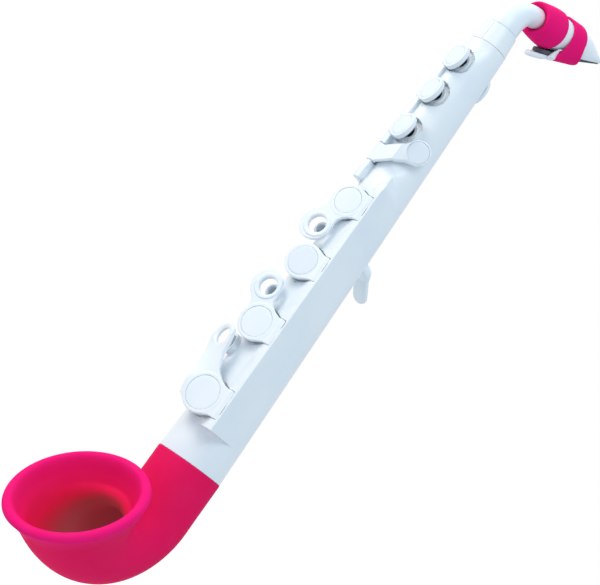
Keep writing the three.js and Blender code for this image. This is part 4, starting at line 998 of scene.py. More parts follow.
def set_piece(name: str, net: Net, body: str, node: str, finish: Finish) -> bpy.types.Object:
    """Makes an object from a net, dresses it and puts it in the place of a CAD node.

    Args:
        name: The piece's name.
        net: Its surface in the tube's frame, in millimetres.
        body: The CAD body that it rides on.
        node: The CAD node that it stands for.
        finish: Its finish.

    Returns:
        The object.
    """
    points = (net.points - np.array(TUBE.hook_flat)) / PER_METRE
    mesh = bpy.data.meshes.new(name)
    mesh.from_pydata(points.tolist(), [], net.faces.tolist())
    if net.poles:
        drawn = bmesh.new()
        drawn.from_mesh(mesh)
        bmesh.ops.remove_doubles(drawn, verts=drawn.verts, dist=MERGE)
        drawn.to_mesh(mesh)
        drawn.free()
    mesh.polygons.foreach_set("use_smooth", np.ones(len(mesh.polygons), bool))
    if net.normals is not None:
        mesh.normals_split_custom_set_from_vertices(net.normals.tolist())
    for word, values in net.marks.items():
        mark = mesh.attributes.new(word, "FLOAT", "POINT")
        mark.data.foreach_set("value", values.astype(np.float32))
    mesh.materials.append(finish.material())
    mesh.update()
    made = bpy.data.objects.new(name, mesh)
    bpy.context.scene.collection.objects.link(made)
    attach(made, body)
    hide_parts(node)
    LOG.info("%s: %d faces for %s", name, len(net.faces), node)
    return made


def spring_room(hub_end: float) -> Form:
    """The bore for the rod through a hub and the wider bore for its spring."""
    rod = shaft(ROD_RADIUS + GAP, -FAR, FAR)
    return rod.join(shaft(SPRING_RADIUS + SPRING_WIRE + GAP, hub_end - SPRING_ROOM, FAR))


def disc_net(radius: float, low: float, high: float, edge: float, sides: int = 72) -> Net:
    """A round disc along the second axis with rounded rims.

    Args:
        radius: Its radius.
        low: Its lower face.
        high: Its upper face.
        edge: Radius of its rims.
        sides: Points around it.

    Returns:
        The net.
    """
    quarter = [math.radians(a) for a in (0, 22.5, 45, 67.5, 90)]
    inner = [radius * s for s in (0, 0.25, 0.5, 0.75)]
    rim = [(radius - edge + edge * math.sin(a), low + edge - edge * math.cos(a)) for a in quarter]
    rim += [(radius - edge + edge * math.cos(a), high - edge + edge * math.sin(a)) for a in quarter]
    profile = [(r, low) for r in inner] + rim + [(r, high) for r in reversed(inner)]
    net = turned(profile, sides, closed=False)
    net.poles = True
    upright = Place.of((1, 0, 0), (0, 0, -1), (0, 1, 0), (0, 0, 0))
    return net.moved(upright)


# Keys

@dataclass(frozen=True)
class FingerRing:
    """A dished ring beside a cup, in the key's hinge frame."""

    radius: float
    across: float
    along: float
    shift: tuple[float, float] = (0.0, 0.0)
    drop: float = 0.0
    turn: float = 0.0
    band: float = 8.7
    lift: float = 0.5
    hole: float = 5.8
    bevel: float = 0.7
    dish: float = 0.7
    web: float = 5.5
    full_side: bool = False
    post: float = 4.697
    post_hole: float = 3.2
    post_entry: float = 0.4


@dataclass
class Key:
    """A key on a rail: hub, arm and cup, for some a finger ring, an inlay above and a pad below."""

    name: str
    rail: Rail
    height: float
    cup: float
    inlay: float
    hub: float
    ring: FingerRing | None = None
    glossy: bool = False

    @property
    def reach(self) -> float:
        """From the rod to the middle of the cup."""
        return TUBE.radius(self.height) - self.rail.inset

    @property
    def top(self) -> float:
        """Upper face of the cup."""
        return self.rail.plate_top

    @property
    def low(self) -> float:
        """Lower face of the cup."""
        return self.top - PLATE

    @property
    def pad_face(self) -> float:
        """Lower face of the pad."""
        return self.low - GAP - self.rail.pad_depth

    @property
    def seat(self) -> float:
        """Rim of the tone hole under the closed pad."""
        return self.pad_face - PAD_GAP

    @property
    def pad(self) -> float:
        """Radius of the pad."""
        return self.cup - SKIRT_WALL - 0.25

    @property
    def shut(self) -> Place:
        """Hinge frame of the closed key."""
        return self.rail.hinge(self.height)

    @property
    def swung(self) -> Place:
        """Hinge frame of the key as it stands open at rest."""
        return self.shut.then(Place.turned(self.rail.open_degrees))

    def ring_place(self) -> Place:
        """Frame on the top of the finger ring, in the hinge frame.

        Returns:
            The frame.
        """
        ring = self.ring
        spot = (ring.across + ring.shift[0], self.top - ring.drop, ring.along + ring.shift[1])
        return Place.turned(-ring.turn, spot)

    def beside_hub(self, room: float) -> Form:
        """Everything beyond the hub, with some room to it."""
        return Form(lambda x, y, z: self.rail.hub_radius + room - x)

    def _web(self, x: Array, y: Array, z: Array) -> Array:
        """Distance to the web and the ring, which twist together from the level of the cup.

        Args:
            x, y, z: The points.

        Returns:
            Their distances.
        """
        ring = self.ring
        run = np.array([ring.across - self.reach, ring.along])
        span = float(np.hypot(*run))
        run /= span
        start = self.pad * 0.6
        along = (x - self.reach) * run[0] + z * run[1]
        share = smooth_step((along - start) / (span - start - 2))
        turn = np.radians(ring.turn) * share
        pivot = self.reach + run[0] * np.clip(along, 0, span)
        rise = self.top - ring.drop * share
        du, dv = x - pivot, y - rise
        u = du * np.cos(turn) - dv * np.sin(turn)
        v = du * np.sin(turn) + dv * np.cos(turn)
        side = u * run[1] - (z - run[1] * np.clip(along, 0, span)) * run[0]
        wide = ring.web
        if ring.full_side:
            wide = self.cup + (ring.radius - self.cup) * np.clip(along / span, 0, 1)
        strip = np.maximum(np.maximum(side - wide, -side - ring.web), np.abs(along - span / 2) - span / 2)
        disc = np.hypot(u + pivot - ring.across, z - ring.along) - ring.radius
        cup = np.hypot(u + pivot - self.reach, z) - self.cup
        outline = round_min(round_min(strip, disc, 7.0), cup, 6.0)
        return round_max(outline, np.abs(v + PLATE / 2) - PLATE / 2, 0.5)

    def form(self) -> Form:
        """The key without its inlay and pad, in its hinge frame.

        Returns:
            The form.
        """
        end = self.hub / 2

        def outline(x: Array, z: Array) -> Array:
            """Cup and arm seen from above.

            Args:
                x, z: The points.

            Returns:
                Their distances.
            """
            cup = np.hypot(x - self.reach, z) - self.cup
            arm = round_max(np.abs(x - self.reach / 2) - self.reach / 2, np.abs(z) - end, 0)
            return round_min(cup, arm, 3.0)

        spot = (self.reach, 0)
        skirt = drum(self.cup, self.low - SKIRT, self.top - 1, 0.3, spot)
        skirt = skirt.cut(drum(self.cup - SKIRT_WALL, -FAR, self.low, 0, spot), 0.2)
        whole = plate(outline, self.low, self.top, 0.45).join(skirt)
        if self.ring:
            whole = whole.join(Form(self._web), 0.5)
        whole = whole.join(shaft(self.rail.hub_radius, -end, end, HUB_EDGE), 0.8)
        if self.rail.side is Side.RIGHT:
            whole = whole.join(block((-HUB_CORNER, 0, -end), (HUB_CORNER, self.top, end), 0.3))
        if self.ring:
            ring, place = self.ring, self.ring_place()
            if ring.lift:
                whole = whole.join(drum(ring.band, -PLATE, ring.lift, 0.35).at(place), 0.2)
            slope, top = ring.bevel / ring.dish, ring.lift - ring.dish
            steep = math.hypot(1, slope)
            dish = Form(lambda x, y, z: (np.hypot(x, z) - ring.hole - slope * (y - top)) / steep)
            whole = whole.cut(dish.at(place), 0.4)
            whole = whole.cut(drum(ring.hole, -FAR, FAR).at(place), 0.4)
        whole = whole.cut(drum(self.inlay, self.top - INLAY_DEPTH, FAR, 0, spot), 0.1)
        return whole.cut(spring_room(end))

    def rooms(self) -> list[Form]:
        """What is cut from rail and tube so that the key can swing.

        Returns:
            The forms, in the tube's frame.
        """
        end, reach = self.hub / 2 + GAP, self.reach
        if self.rail.side is Side.LEFT:
            hub = block((-HUB_ROOM, -self.rail.hub_radius - GAP, -end), (HUB_ROOM, HUB_ROOM_TOP, end))
            beside, corner, wide = GAP, 0.0, self.cup - 0.25
        else:
            hub = shaft(HUB_SWEEP, -end, end).join(block((0, -GAP, -end), (reach, FAR, end)))
            beside, corner, wide = SWING, 3.4, self.pad + 0.8
        arm = block((0, self.low - SWING, -end), (reach, FAR, end))
        cup = drum(self.cup + beside, self.low - SKIRT - SWING, FAR, 0, (reach, 0))
        well = drum(wide, self.seat - self.rail.recess, FAR, 0.3, (reach, 0))
        return [self._near(piece) for piece in (hub, arm.join(cup, corner), well)]

    def _near(self, piece: Form) -> Form:
        """A piece of the closed key's hinge frame, marked with its heights in the tube's frame."""
        wide = max(self.hub / 2, self.cup) + 4
        return piece.at(self.shut).between(self.height - wide, self.height + wide)

    def seat_ring(self) -> Form:
        """The ring that the pad closes on.

        Returns:
            The form, in the tube's frame.
        """
        deep = self.seat - self.rail.recess - 1.4
        ring = drum(self.pad - 1.2, deep, self.seat, 0.3, (self.reach, 0))
        return self._near(ring.common(self.beside_hub(0.8), 0.3))

    def hole(self) -> Form:
        """The tone hole.

        Returns:
            The form, in the tube's frame.
        """
        radius, spot = self.pad - self.rail.hole_inset, (self.reach, 0)
        hole = drum(radius, -self.reach - 2.6, self.seat + 1, 0, spot)
        return self._near(hole.common(self.beside_hub(2.2), 0.6))

    def post(self, radius: float, lift: float, edge: float) -> Form:
        """The post under the finger ring, or the hole in it.

        Args:
            radius: Its radius.
            lift: How far it stands above the post's end.
            edge: Radius of its rims.

        Returns:
            The form, in the tube's frame.
        """
        ring = self.ring
        height = self.height + ring.along * self.rail.side.value
        deep = self.top + TUBE.radius(self.height + ring.along) / 2
        place = self.shut.then(self.ring_place())
        drawn = drum(radius, -deep, ring.post_entry - PLATE + lift, edge).at(place)
        return drawn.between(height - 12, height + 12)

    def build(self) -> None:
        """Makes the key, its inlay and its pad."""
        end = self.hub / 2
        low = np.array([-self.rail.hub_radius - 0.8, -self.rail.hub_radius - 1, -max(end, self.cup) - 1])
        high = np.array([self.reach + self.cup + 1, self.top + 1, max(end, self.cup) + 1])
        if self.ring:
            spot = np.array([self.ring.across, 0, self.ring.along])
            size = np.array([self.ring.radius + 1, 0, self.ring.radius + 1])
            low, high = np.minimum(low, spot - size), np.maximum(high, spot + size)
            low[1] -= self.ring.radius * math.sin(math.radians(self.ring.turn)) + self.ring.drop
            high[1] += 3 if self.ring.turn else 0
        net = skin(self.form(), tuple(low), tuple(high), 0.42)
        set_piece(f"{self.name}_lever", net.moved(self.swung), self.name, self.name, PLASTIC)
        spot = self.swung.then(Place.turned(0, (self.reach, 0, 0)))
        inlay = disc_net(self.inlay - INLAY_GAP, self.top - INLAY_DEPTH + GAP, self.top, INLAY_EDGE)
        finish = GLOSS if self.glossy else PLASTIC
        set_piece(f"{self.name}_disc", inlay.moved(spot), self.name, f"{self.name}_inlay", finish)
        face, edge = self.pad_face, 0.5
        pad = drum(self.pad, face, face + self.rail.pad_depth, edge, (self.reach, 0))
        pad = pad.common(self.beside_hub(GAP), edge)
        low = (0, face - 0.5, -self.pad - 0.5)
        net = skin(pad, low, (self.reach + self.pad + 0.5, self.low, self.pad + 0.5), 0.4)
        made = set_piece(f"{self.name}_rubber", net.moved(self.swung), self.name, f"{self.name}_pad", RUBBER)


LEFT_KEYS = [
    Key(f"left_key_{k + 1}", LEFT_RAIL, height, cup=9.0, inlay=7.2, hub=12.4)
    for k, height in enumerate((298.602, 272.1126, 243.2064))
]
RIGHT_KEYS = [
    Key("right_key_1", RIGHT_RAIL, 184.599, cup=10.9074, inlay=8.7132, hub=17.013,
        ring=FingerRing(9.9852, across=21.5922, along=-22.7052, shift=(-1.5, 0.8))),
    Key("right_key_2", RIGHT_RAIL, 138.5844, cup=11.7978, inlay=9.6036, hub=17.013, glossy=True),
    Key("right_key_3", RIGHT_RAIL, 91.9974, cup=12.2112, inlay=9.9852, hub=17.5854,
        ring=FingerRing(9.9852, across=24.1998, along=22.7052, shift=(-1.6, -0.4))),
    Key("right_key_4", RIGHT_RAIL, 38.796, cup=13.197, inlay=11.0028, hub=19.4934,
        ring=FingerRing(8.8086, across=30.21, along=35.9976, drop=2.0034, turn=30.0, band=0.0, lift=0.0,
                        hole=5.597, bevel=1.7, dish=1.0, full_side=True, post=6.9, post_hole=5.0,
                        post_entry=-1.2)),
]


# Levers that close a vent at rest

@dataclass
class Seesaw:
    """A lever on a rod: a touch on one side, on the other an arm to a pad that closes a vent."""

    name: str
    place: Place
    height: float
    hinge: tuple[float, float]
    azimuth: float
    hub: float
    hub_radius: float
    pad: float
    seat_radius: float
    vent: float
    pad_depth: float = 1.6
    cup_depth: float = 1.6
    arm_half: float = 3.0
    arm_depth: float = 2.4

    @property
    def radius(self) -> float:
        """Radius of the tube there."""
        return TUBE.radius(self.height)

    @property
    def pad_place(self) -> Place:
        """Frame about the tube's axis with its second axis through the pad."""
        return Place.turned(self.azimuth, (-self.hinge[0], -self.hinge[1], 0))

    @property
    def seat(self) -> float:
        """Rim of the vent, from the tube's axis."""
        return self.radius + 0.8

    @property
    def cup_low(self) -> float:
        """Lower face of the small cup, from the tube's axis."""
        return self.seat + PAD_GAP + self.pad_depth + GAP

    @property
    def cup(self) -> float:
        """Radius of the small cup."""
        return self.pad + 0.6

    def elbow(self) -> tuple[float, float, float]:
        """Where arm and cup meet.

        Returns:
            Reach beside the pad, and angle and length of the arm.
        """
        beside = self.cup + SWING
        middle = self.cup_low + self.cup_depth / 2
        spot = self.pad_place.outward(np.array([[beside, middle, 0.0]]))[0]
        return beside, math.degrees(math.atan2(spot[1], spot[0])), math.hypot(spot[0], spot[1])

    def arm(self) -> Form:
        """Arm, elbow and cup.

        Returns:
            The form, in the hinge frame.
        """
        beside, angle, length = self.elbow()
        half, width, top = self.arm_depth / 2, self.arm_half, self.cup_low + self.cup_depth
        bar = block((0, -half, -width), (length, half, width), 0.6).at(Place.turned(angle))
        elbow = block((0, self.cup_low, -width), (beside + half, top, width), 0.6).at(self.pad_place)
        cup = drum(self.cup, self.cup_low, top, 0.5).at(self.pad_place)
        return bar.join(elbow, 0.8).join(cup, 1.0)

    def arm_room(self) -> Form:
        """Room for arm and cup to swing outward.

        Returns:
            The form, in the hinge frame.
        """
        _, angle, length = self.elbow()
        half, width = self.arm_depth / 2 + SWING, self.arm_half + SWING
        bar = block((0, -4 * half, -width), (length, half, width), 0.3).at(Place.turned(angle))
        cup = drum(self.cup + SWING, self.radius + GAP, 2 * self.radius, 0.3)
        return bar.join(cup.at(self.pad_place))

    def vent_form(self, radius: float, low: float, high: float, edge: float = 0.0) -> Form:
        """A round bar through the vent, in the tube's frame."""
        return self.near(drum(radius, low, high, edge).at(self.pad_place))

    def near(self, piece: Form) -> Form:
        """A piece of the hinge frame, marked with its heights in the tube's frame."""
        wide = self.hub / 2 + 8
        return piece.at(self.place).between(self.height - wide, self.height + wide)

    def pad_piece(self) -> None:
        """Makes the pad."""
        face = self.seat + PAD_GAP
        net = disc_net(self.pad, face, face + self.pad_depth, 0.4, 48)
        net = net.moved(self.place.then(self.pad_place))
        made = set_piece(f"{self.name}_rubber", net, self.name, f"{self.name}_pad", RUBBER)


@dataclass
class SideLever(Seesaw):
    """The lever for the little finger, which bends over to a round touch."""

    ridge: tuple[float, float, float] = (17.0, 4.6, -6.0)
    touch: tuple[float, float, float] = (24.4, -2.8, -12.7)
    tilt: float = 41.8
    touch_radius: float = 8.1
    inlay: float = 7.0
    half_width: float = 6.3
    half_reach: float = 12.5

    @property
    def touch_place(self) -> Place:
        """Frame on the touch."""
        return Place.turned(-self.tilt, self.touch)

    def _bridge(self, x: Array, y: Array, z: Array) -> Array:
        """Distance to the folded plate from the hub to the touch.

        Args:
            x, y, z: The points.

        Returns:
            Their distances.
        """
        rise = self.hub_radius + (self.ridge[1] - self.hub_radius) / self.ridge[0] * x
        fall = self.touch[1] - math.tan(math.radians(self.tilt)) * (x - self.touch[0])
        top = round_min(rise, fall, 2.5)
        bends = (0, HUB_ROOM, self.ridge[0], self.touch[0])
        middle = np.interp(x, bends, (0, 0, self.ridge[2], self.touch[2]))
        steep = np.where(rise < fall, 0.995, math.cos(math.radians(self.tilt)))
        side = (np.abs(z - middle) - self.half_width) * 0.85
        outline = round_max(side, np.abs(x - self.half_reach) - self.half_reach, 0)
        return round_max(outline, np.abs(y - top + PLATE / 2 / steep) * steep - PLATE / 2, 0.7)

    def build(self) -> None:
        """Makes the lever, its inlay and its pad."""
        end = self.hub / 2
        touch = drum(self.touch_radius, -PLATE, 0, 0.75).at(self.touch_place)
        whole = Form(self._bridge).join(touch, 2.5)
        whole = whole.join(shaft(self.hub_radius, -end, end, HUB_EDGE), 0.8).join(self.arm(), 1.0)
        whole = whole.cut(drum(self.inlay, -INLAY_DEPTH, FAR).at(self.touch_place), 0.1)
        whole = whole.cut(spring_room(end))
        net = skin(whole, (-12, -18, -22), (33, 7, 8), 0.42)
        set_piece("side_lever_bridge", net.moved(self.place), self.name, self.name, PLASTIC)
        disc = disc_net(self.inlay - INLAY_GAP, GAP - INLAY_DEPTH, 0, INLAY_EDGE)
        disc = disc.moved(self.place.then(self.touch_place))
        set_piece("side_lever_disc", disc, self.name, "side_lever_inlay", GLOSS)
        self.pad_piece()


@dataclass
class ThumbKey(Seesaw):
    """The key on the back, with an oval touch between two lugs."""

    across: float = 3.8
    half_across: float = 5.2
    half_along: float = 9.5
    lug: float = 2.2

    def lugs(self) -> list[Form]:
        """The two lugs that carry its pin, in the tube's frame.

        Returns:
            The lugs.
        """
        near = self.hub / 2 + GAP
        root = TUBE.bore(self.height) - self.radius - 2.0
        made = []
        for low, high in ((-near - self.lug, -near), (near, near + self.lug)):
            ear = shaft(self.hub_radius, low, high, 0.5)
            foot = block((-self.hub_radius, root, low), (self.hub_radius, 0, high), 0.5)
            made.append(self.near(ear.join(foot)))
        return made

    def build(self) -> None:
        """Makes the key and its pad."""
        end, top = self.hub / 2, self.hub_radius

        def oval(x: Array, z: Array) -> Array:
            """The touch seen from outside.

            Args:
                x, z: The points.

            Returns:
                Their distances.
            """
            u, w = (x - self.across) / self.half_across, z / self.half_along
            size = np.hypot(u, w)
            slope = np.hypot(u / self.half_across, w / self.half_along)
            return size * (size - 1) / np.maximum(slope, 1e-6)

        def touch(x: Array, y: Array, z: Array) -> Array:
            """Distance to the crowned touch."""
            crown = 0.5 * ((x - self.across) / self.half_across) ** 2 + 0.5 * (z / self.half_along) ** 2
            return round_max(oval(x, z), np.abs(y + crown - top + PLATE / 2) - PLATE / 2, 0.9)

        whole = Form(touch).join(shaft(top, -end, end, 0.4), 1.0)
        whole = whole.join(self.arm(), 1.0).cut(spring_room(end))
        net = skin(whole, (-19, -9, -11), (11, 5, 11), 0.42)
        set_piece("thumb_key_touch", net.moved(self.place), self.name, self.name, PLASTIC)
        self.pad_piece()


def side_lever() -> SideLever:
    """The side lever at its place on the left rail.

    Returns:
        The lever.
    """
    height = 221.5064
    radius = TUBE.radius(height)
    hinge = (LEFT_RAIL.inset - radius, LEFT_RAIL.rise + radius)
    return SideLever("side_lever", LEFT_RAIL.hinge(height), height, hinge, azimuth=72.0, hub=13.0,
                     hub_radius=3.0, pad=5.0, seat_radius=3.8, vent=2.4)


def thumb_key() -> ThumbKey:
    """The thumb key at its place on the back.

    Returns:
        The key.
    """
    height = LEFT_KEYS[0].height - 0.0066 * TUBE.length
    hinge = (-3.0, TUBE.radius(height) + 2.0)
    k = TUBE.taper
    along = np.array([0, -k, 1]) / math.hypot(1, k)
    across = np.array([1.0, 0, 0])
    place = Place.of(across, np.cross(along, across), along, (*hinge, height))
    return ThumbKey("thumb_key", place, height, hinge, azimuth=50.0, hub=19.2, hub_radius=3.0, pad=3.8,
                    seat_radius=2.6, vent=1.2)


# Body

@dataclass
class BodyTube:
    """The tube moulded in one with its rails, tone-hole seats, ring posts, lugs and the hook's boss."""

    lever: SideLever
    thumb: ThumbKey
    hook: "ThumbHook"
    step: float = 0.62
    tall: float = 1.15
    most: int = 185000
    spigot: float = 9.6
    spigot_length: float = 6.0
    right_low: float = 22.0056
    right_high: float = 199.0044
    right_end: float = 202.6
    slant: float = 1.6
    slant_length: float = 1.887
    ramp_end: float = 217.0032
    ramp_tail: float = 10.0
    sink: float = 6.0
    left_low: float = 201.4
    left_high: float = 309.0006
    ridge: float = 3.2
    ridge_wall: float = 2.9
    land: float = 4.3
    deck: float = 24.0
    right_proud: float = 0.7
    left_proud: float = 2.9
    proud_from: float = 229.0
    relief: float = 1.5
    relief_low: float = 213.0
    relief_high: float = 241.0
    relief_run: float = 10.0
    relief_side: float = 4.5

    def _right_rail(self, x: Array, y: Array, z: Array) -> Array:
        """Distance to the right hand's flat-sided rail, whose deck leans down to the tube.

        Args:
            x, y, z: The points.

        Returns:
            Their distances.
        """
        radius = TUBE.radius(z)
        u, v = x - radius, y + radius
        share = smooth_step((z - self.right_high + 1) / (self.ramp_end + self.ramp_tail - self.right_high))
        full = RIGHT_RAIL.rise + RIGHT_RAIL.hub_radius
        rise = full - (full + self.sink) * share
        lean = math.radians(self.deck)
        deck = -math.sin(lean) * (u + self.land) - math.cos(lean) * (v + rise)
        wall = round_max(u, -v - rise, 0.7)
        wall = round_max(wall, deck, 0.8 + 4 * share)
        wall = round_max(wall, (self.slant * u + z - self.right_end) / self.slant_length, 1.2)
        wall = round_max(wall, self.right_low - z, 0.3)
        wall = np.maximum(wall, z - self.ramp_end - self.ramp_tail)
        return np.maximum(wall, np.maximum(y, -0.3 * radius - x))

    def _deck_fillet(self, x: Array, y: Array, z: Array) -> Array:
        """Radius between tube and deck: wide on the front, small at the flat side and the lower end."""
        front = smooth_step((TUBE.radius(z) - 4 - x) / 8)
        return 0.3 + 5 * front * smooth_step((z - self.right_low - 1) / 12)

    def _left_rail(self, x: Array, y: Array, z: Array) -> Array:
        """Distance to the ridge of the left hand, round outside and upright inside.

        Args:
            x, y, z: The points.

        Returns:
            Their distances.
        """
        radius = TUBE.radius(z)
        u = x + radius - LEFT_RAIL.inset
        v = y + radius + LEFT_RAIL.rise - 5 * smooth_step((z - self.left_high + 6) / 6)
        ridge = np.hypot(np.minimum(u, 0), np.minimum(v, 0)) - self.ridge
        ridge = round_max(ridge, u - self.ridge_wall, 0.5)
        ends = np.maximum(self.left_low - z, z - self.left_high)
        return np.maximum(round_max(ridge, ends, 0.9), y + 0.3 * radius)

    def _tube(self, x: Array, y: Array, z: Array) -> Array:
        """Distance to the taper: its front stands a little proud along the keys, not under the lever's touch.

        Args:
            x, y, z: The points.

        Returns:
            Their distances.
        """
        radius = TUBE.radius(z)
        proud = self.right_proud * smooth_step((z - self.right_low + 6) / 16)
        proud = proud + (self.left_proud - self.right_proud) * smooth_step((z - self.proud_from) / 13)
        proud = proud * (1 - smooth_step((z - self.left_high + 8) / 14))
        under = smooth_step((x - self.relief_side) / self.relief_side)
        under = under * smooth_step((z - self.relief_low) / self.relief_run)
        under = under * (1 - smooth_step((z - self.relief_high) / self.relief_run))
        proud = proud - (proud + self.relief) * under
        depth = np.where(y < 0, y * radius / (radius + proud), y)
        side = (np.hypot(x, depth) - radius) / math.hypot(1, TUBE.taper)
        middle = TUBE.length / 2
        return round_max(side, np.abs(z - middle) - middle, 0.15)

    def form(self) -> Moulding:
        """The whole moulding.

        Returns:
            The form, in the tube's frame.
        """
        keys = LEFT_KEYS + RIGHT_KEYS
        ringed = [key for key in keys if key.ring]
        made = Moulding(Form(self._tube))
        made.add(shaft(TUBE.tenon, -TUBE.tenon_length, 1, 0.6).between(-TUBE.tenon_length - 1, 3))
        top = TUBE.length + self.spigot_length
        made.add(shaft(self.spigot, TUBE.length - 1, top, 0.4).between(TUBE.length - 3, top + 2))
        right = Form(self._right_rail).between(self.right_low - 8, self.ramp_end + 16)
        made.add(right, self._deck_fillet)
        made.add(Form(self._left_rail).between(self.left_low - 8, self.left_high + 6), 0.4)
        made.add(self.hook.boss(), 0.8)
        for lug in self.thumb.lugs():
            made.add(lug, 0.8)
        for key in keys:
            for room in key.rooms():
                made.remove(room, 0.25)
        end = self.lever.hub / 2 + GAP
        hub = block((-HUB_ROOM, -self.lever.hub_radius - GAP, -end), (HUB_ROOM, HUB_ROOM_TOP, end))
        made.remove(self.lever.near(hub), 0.25)
        made.remove(self.lever.near(self.lever.arm_room()), 0.25)
        end = self.thumb.hub / 2 + GAP
        made.remove(self.thumb.near(shaft(self.thumb.hub_radius + GAP, -end, end)), 0.25)
        for key in keys:
            made.add(key.seat_ring())
        for key in ringed:
            made.add(key.post(key.ring.post, 0, 0.3), 0.5)
        for lever in (self.lever, self.thumb):
            made.add(lever.vent_form(lever.seat_radius, lever.radius - 1.4, lever.seat, 0.25))
        slope = (TUBE.bore_top - TUBE.bore_low) / TUBE.length
        made.remove(Form(lambda x, y, z: np.hypot(x, y) - TUBE.bore_low - slope * z), 0.3)
        for key in keys:
            made.remove(key.hole(), 0.2)
        for key in ringed:
            made.remove(key.post(key.ring.post_hole, 1, 0), 0.3)
        for lever in (self.lever, self.thumb):
            made.remove(lever.vent_form(lever.vent, lever.vent, lever.seat + 1), 0.15)
        pin = self.thumb.hub / 2 + GAP + self.thumb.lug + 1
        made.remove(self.thumb.near(shaft(ROD_RADIUS + GAP, -pin, pin)))
        stretch = math.sqrt(1 + 2 * TUBE.taper ** 2)
        for rail in (LEFT_RAIL, RIGHT_RAIL):
            low, high = rail.rod
            bore = shaft(ROD_RADIUS + GAP, low * stretch, high * stretch).at(rail.hinge(0))
            bottom, ceiling = sorted((abs(low), abs(high)))
            made.remove(bore.between(bottom - 3, ceiling + 3))
        made.remove(self.hook.screw_hole())
        return made

    def build(self) -> None:
        """Makes the tube."""
        form = self.form()
        net = skin(form, (-24, -29, -18), (23, 24, 324), self.step, self.tall)
        net = thinned(net, form, self.most / (2 * len(net.faces)))
        set_piece("tube_moulding", net, "body", "body_tube", PLASTIC)


@dataclass
class ThumbHook:
    """The hook that rests on the thumb, with its boss on the tube and its screw."""

    half: float = 6.0
    base_half: float = 4.0
    below: float = 3.0
    above: float = 14.0
    depth: float = 2.0
    flat: float = 6.5
    arm: float = 4.0
    tongue: float = 19.5
    tongue_depth: float = 2.8
    lean: float = 45.0
    screw_radius: float = 1.4
    screw_above: float = 9.0
    screw_depth: float = 2.6
    hole_depth: float = 2.9
    head_radius: float = 2.8
    head_height: float = 1.6
    head_dome: float = 4.4
    slot_half: float = 1.9
    slot_width: float = 0.32
    slot_depth: float = 0.8

    @property
    def height(self) -> float:
        """Height of the flat that rests on the thumb."""
        return TUBE.hook_flat[2]

    @property
    def seat(self) -> float:
        """Face of the boss, from the tube's axis."""
        return TUBE.radius(self.height - self.below) + 0.8

    @property
    def face(self) -> float:
        """Outer face of the base."""
        return self.seat + GAP + self.depth

    def boss(self) -> Form:
        """The flat boss under the base.

        Returns:
            The form, in the tube's frame.
        """
        half = self.base_half + 0.6
        low, high = self.height - self.below - 0.6, self.height + self.above + 0.6
        return block((-half, 0, low), (half, self.seat, high), 0.5).between(low - 3, high + 3)

    def screw_hole(self) -> Form:
        """The hole for the screw in the boss.

        Returns:
            The form, in the tube's frame.
        """
        height = self.height + self.screw_above
        hole = drum(self.screw_radius + GAP, self.seat - self.hole_depth, self.seat + 1, 0, (0, height))
        return hole.between(height - 4, height + 4)

    def build(self) -> None:
        """Makes the hook and its screw."""
        low, back, end = self.height, self.seat + GAP, self.face + self.flat
        lean = math.radians(self.lean)
        axes = ((0, math.cos(lean), -math.sin(lean)), (0, math.sin(lean), math.cos(lean)), (1, 0, 0))
        place = Place.of(*axes, (0, end, low))
        run = self.tongue - self.half

        def outline(x: Array, z: Array) -> Array:
            """The tongue seen from outside."""
            return np.hypot(x - np.clip(x, -4, run), z) - self.half

        tongue = plate(outline, 0, self.tongue_depth, 1.35).at(place)
        bar = block((-self.half, back, low), (self.half, end + 0.6, low + self.arm), 1.8)
        wide = self.base_half
        base = block((-wide, back, low - self.below), (wide, self.face, low + self.above), 0.7)
        whole = bar.join(tongue, 4.0).join(base, 1.4)
        height = low + self.screw_above
        whole = whole.cut(drum(self.screw_radius + GAP, -FAR, FAR, 0, (0, height)), 0.3)
        net = skin(whole, (-8, back - 1, low - 20), (8, end + 20, low + 16), 0.4)
        set_piece("thumb_hook_moulding", net, "body", "thumb_hook", PLASTIC)
        self._screw(height)

    def _screw(self, height: float) -> None:
        """Makes the screw with its crossed slots.

        Args:
            height: Height of its axis.
        """
        low = self.face + GAP
        top, dome = low + self.head_height, self.head_dome
        stem = drum(self.screw_radius, self.seat - self.screw_depth, low + GAP, 0.2)
        ball = Form(lambda x, y, z: np.sqrt(x * x + z * z + (y - top + dome) ** 2) - dome)
        head = ball.common(Form(lambda x, y, z: low - y))
        head = head.common(drum(self.head_radius, low, top, 0.3), 0.3)
        run, wide, floor = self.slot_half, self.slot_width, top - self.slot_depth
        slot = block((-run, floor, -wide), (run, top + 1, wide))
        slot = slot.join(block((-wide, floor, -run), (wide, top + 1, run)))
        whole = stem.join(head).cut(slot, 0.08)
        net = skin(whole, (-3, self.seat - 3, -3), (3, top + 0.2, 3), 0.16)
        place = Place.turned(0, (0, 0, height))
        set_piece("thumb_hook_fastener", net.moved(place), "body", "thumb_hook_screw", STEEL)


# Neck

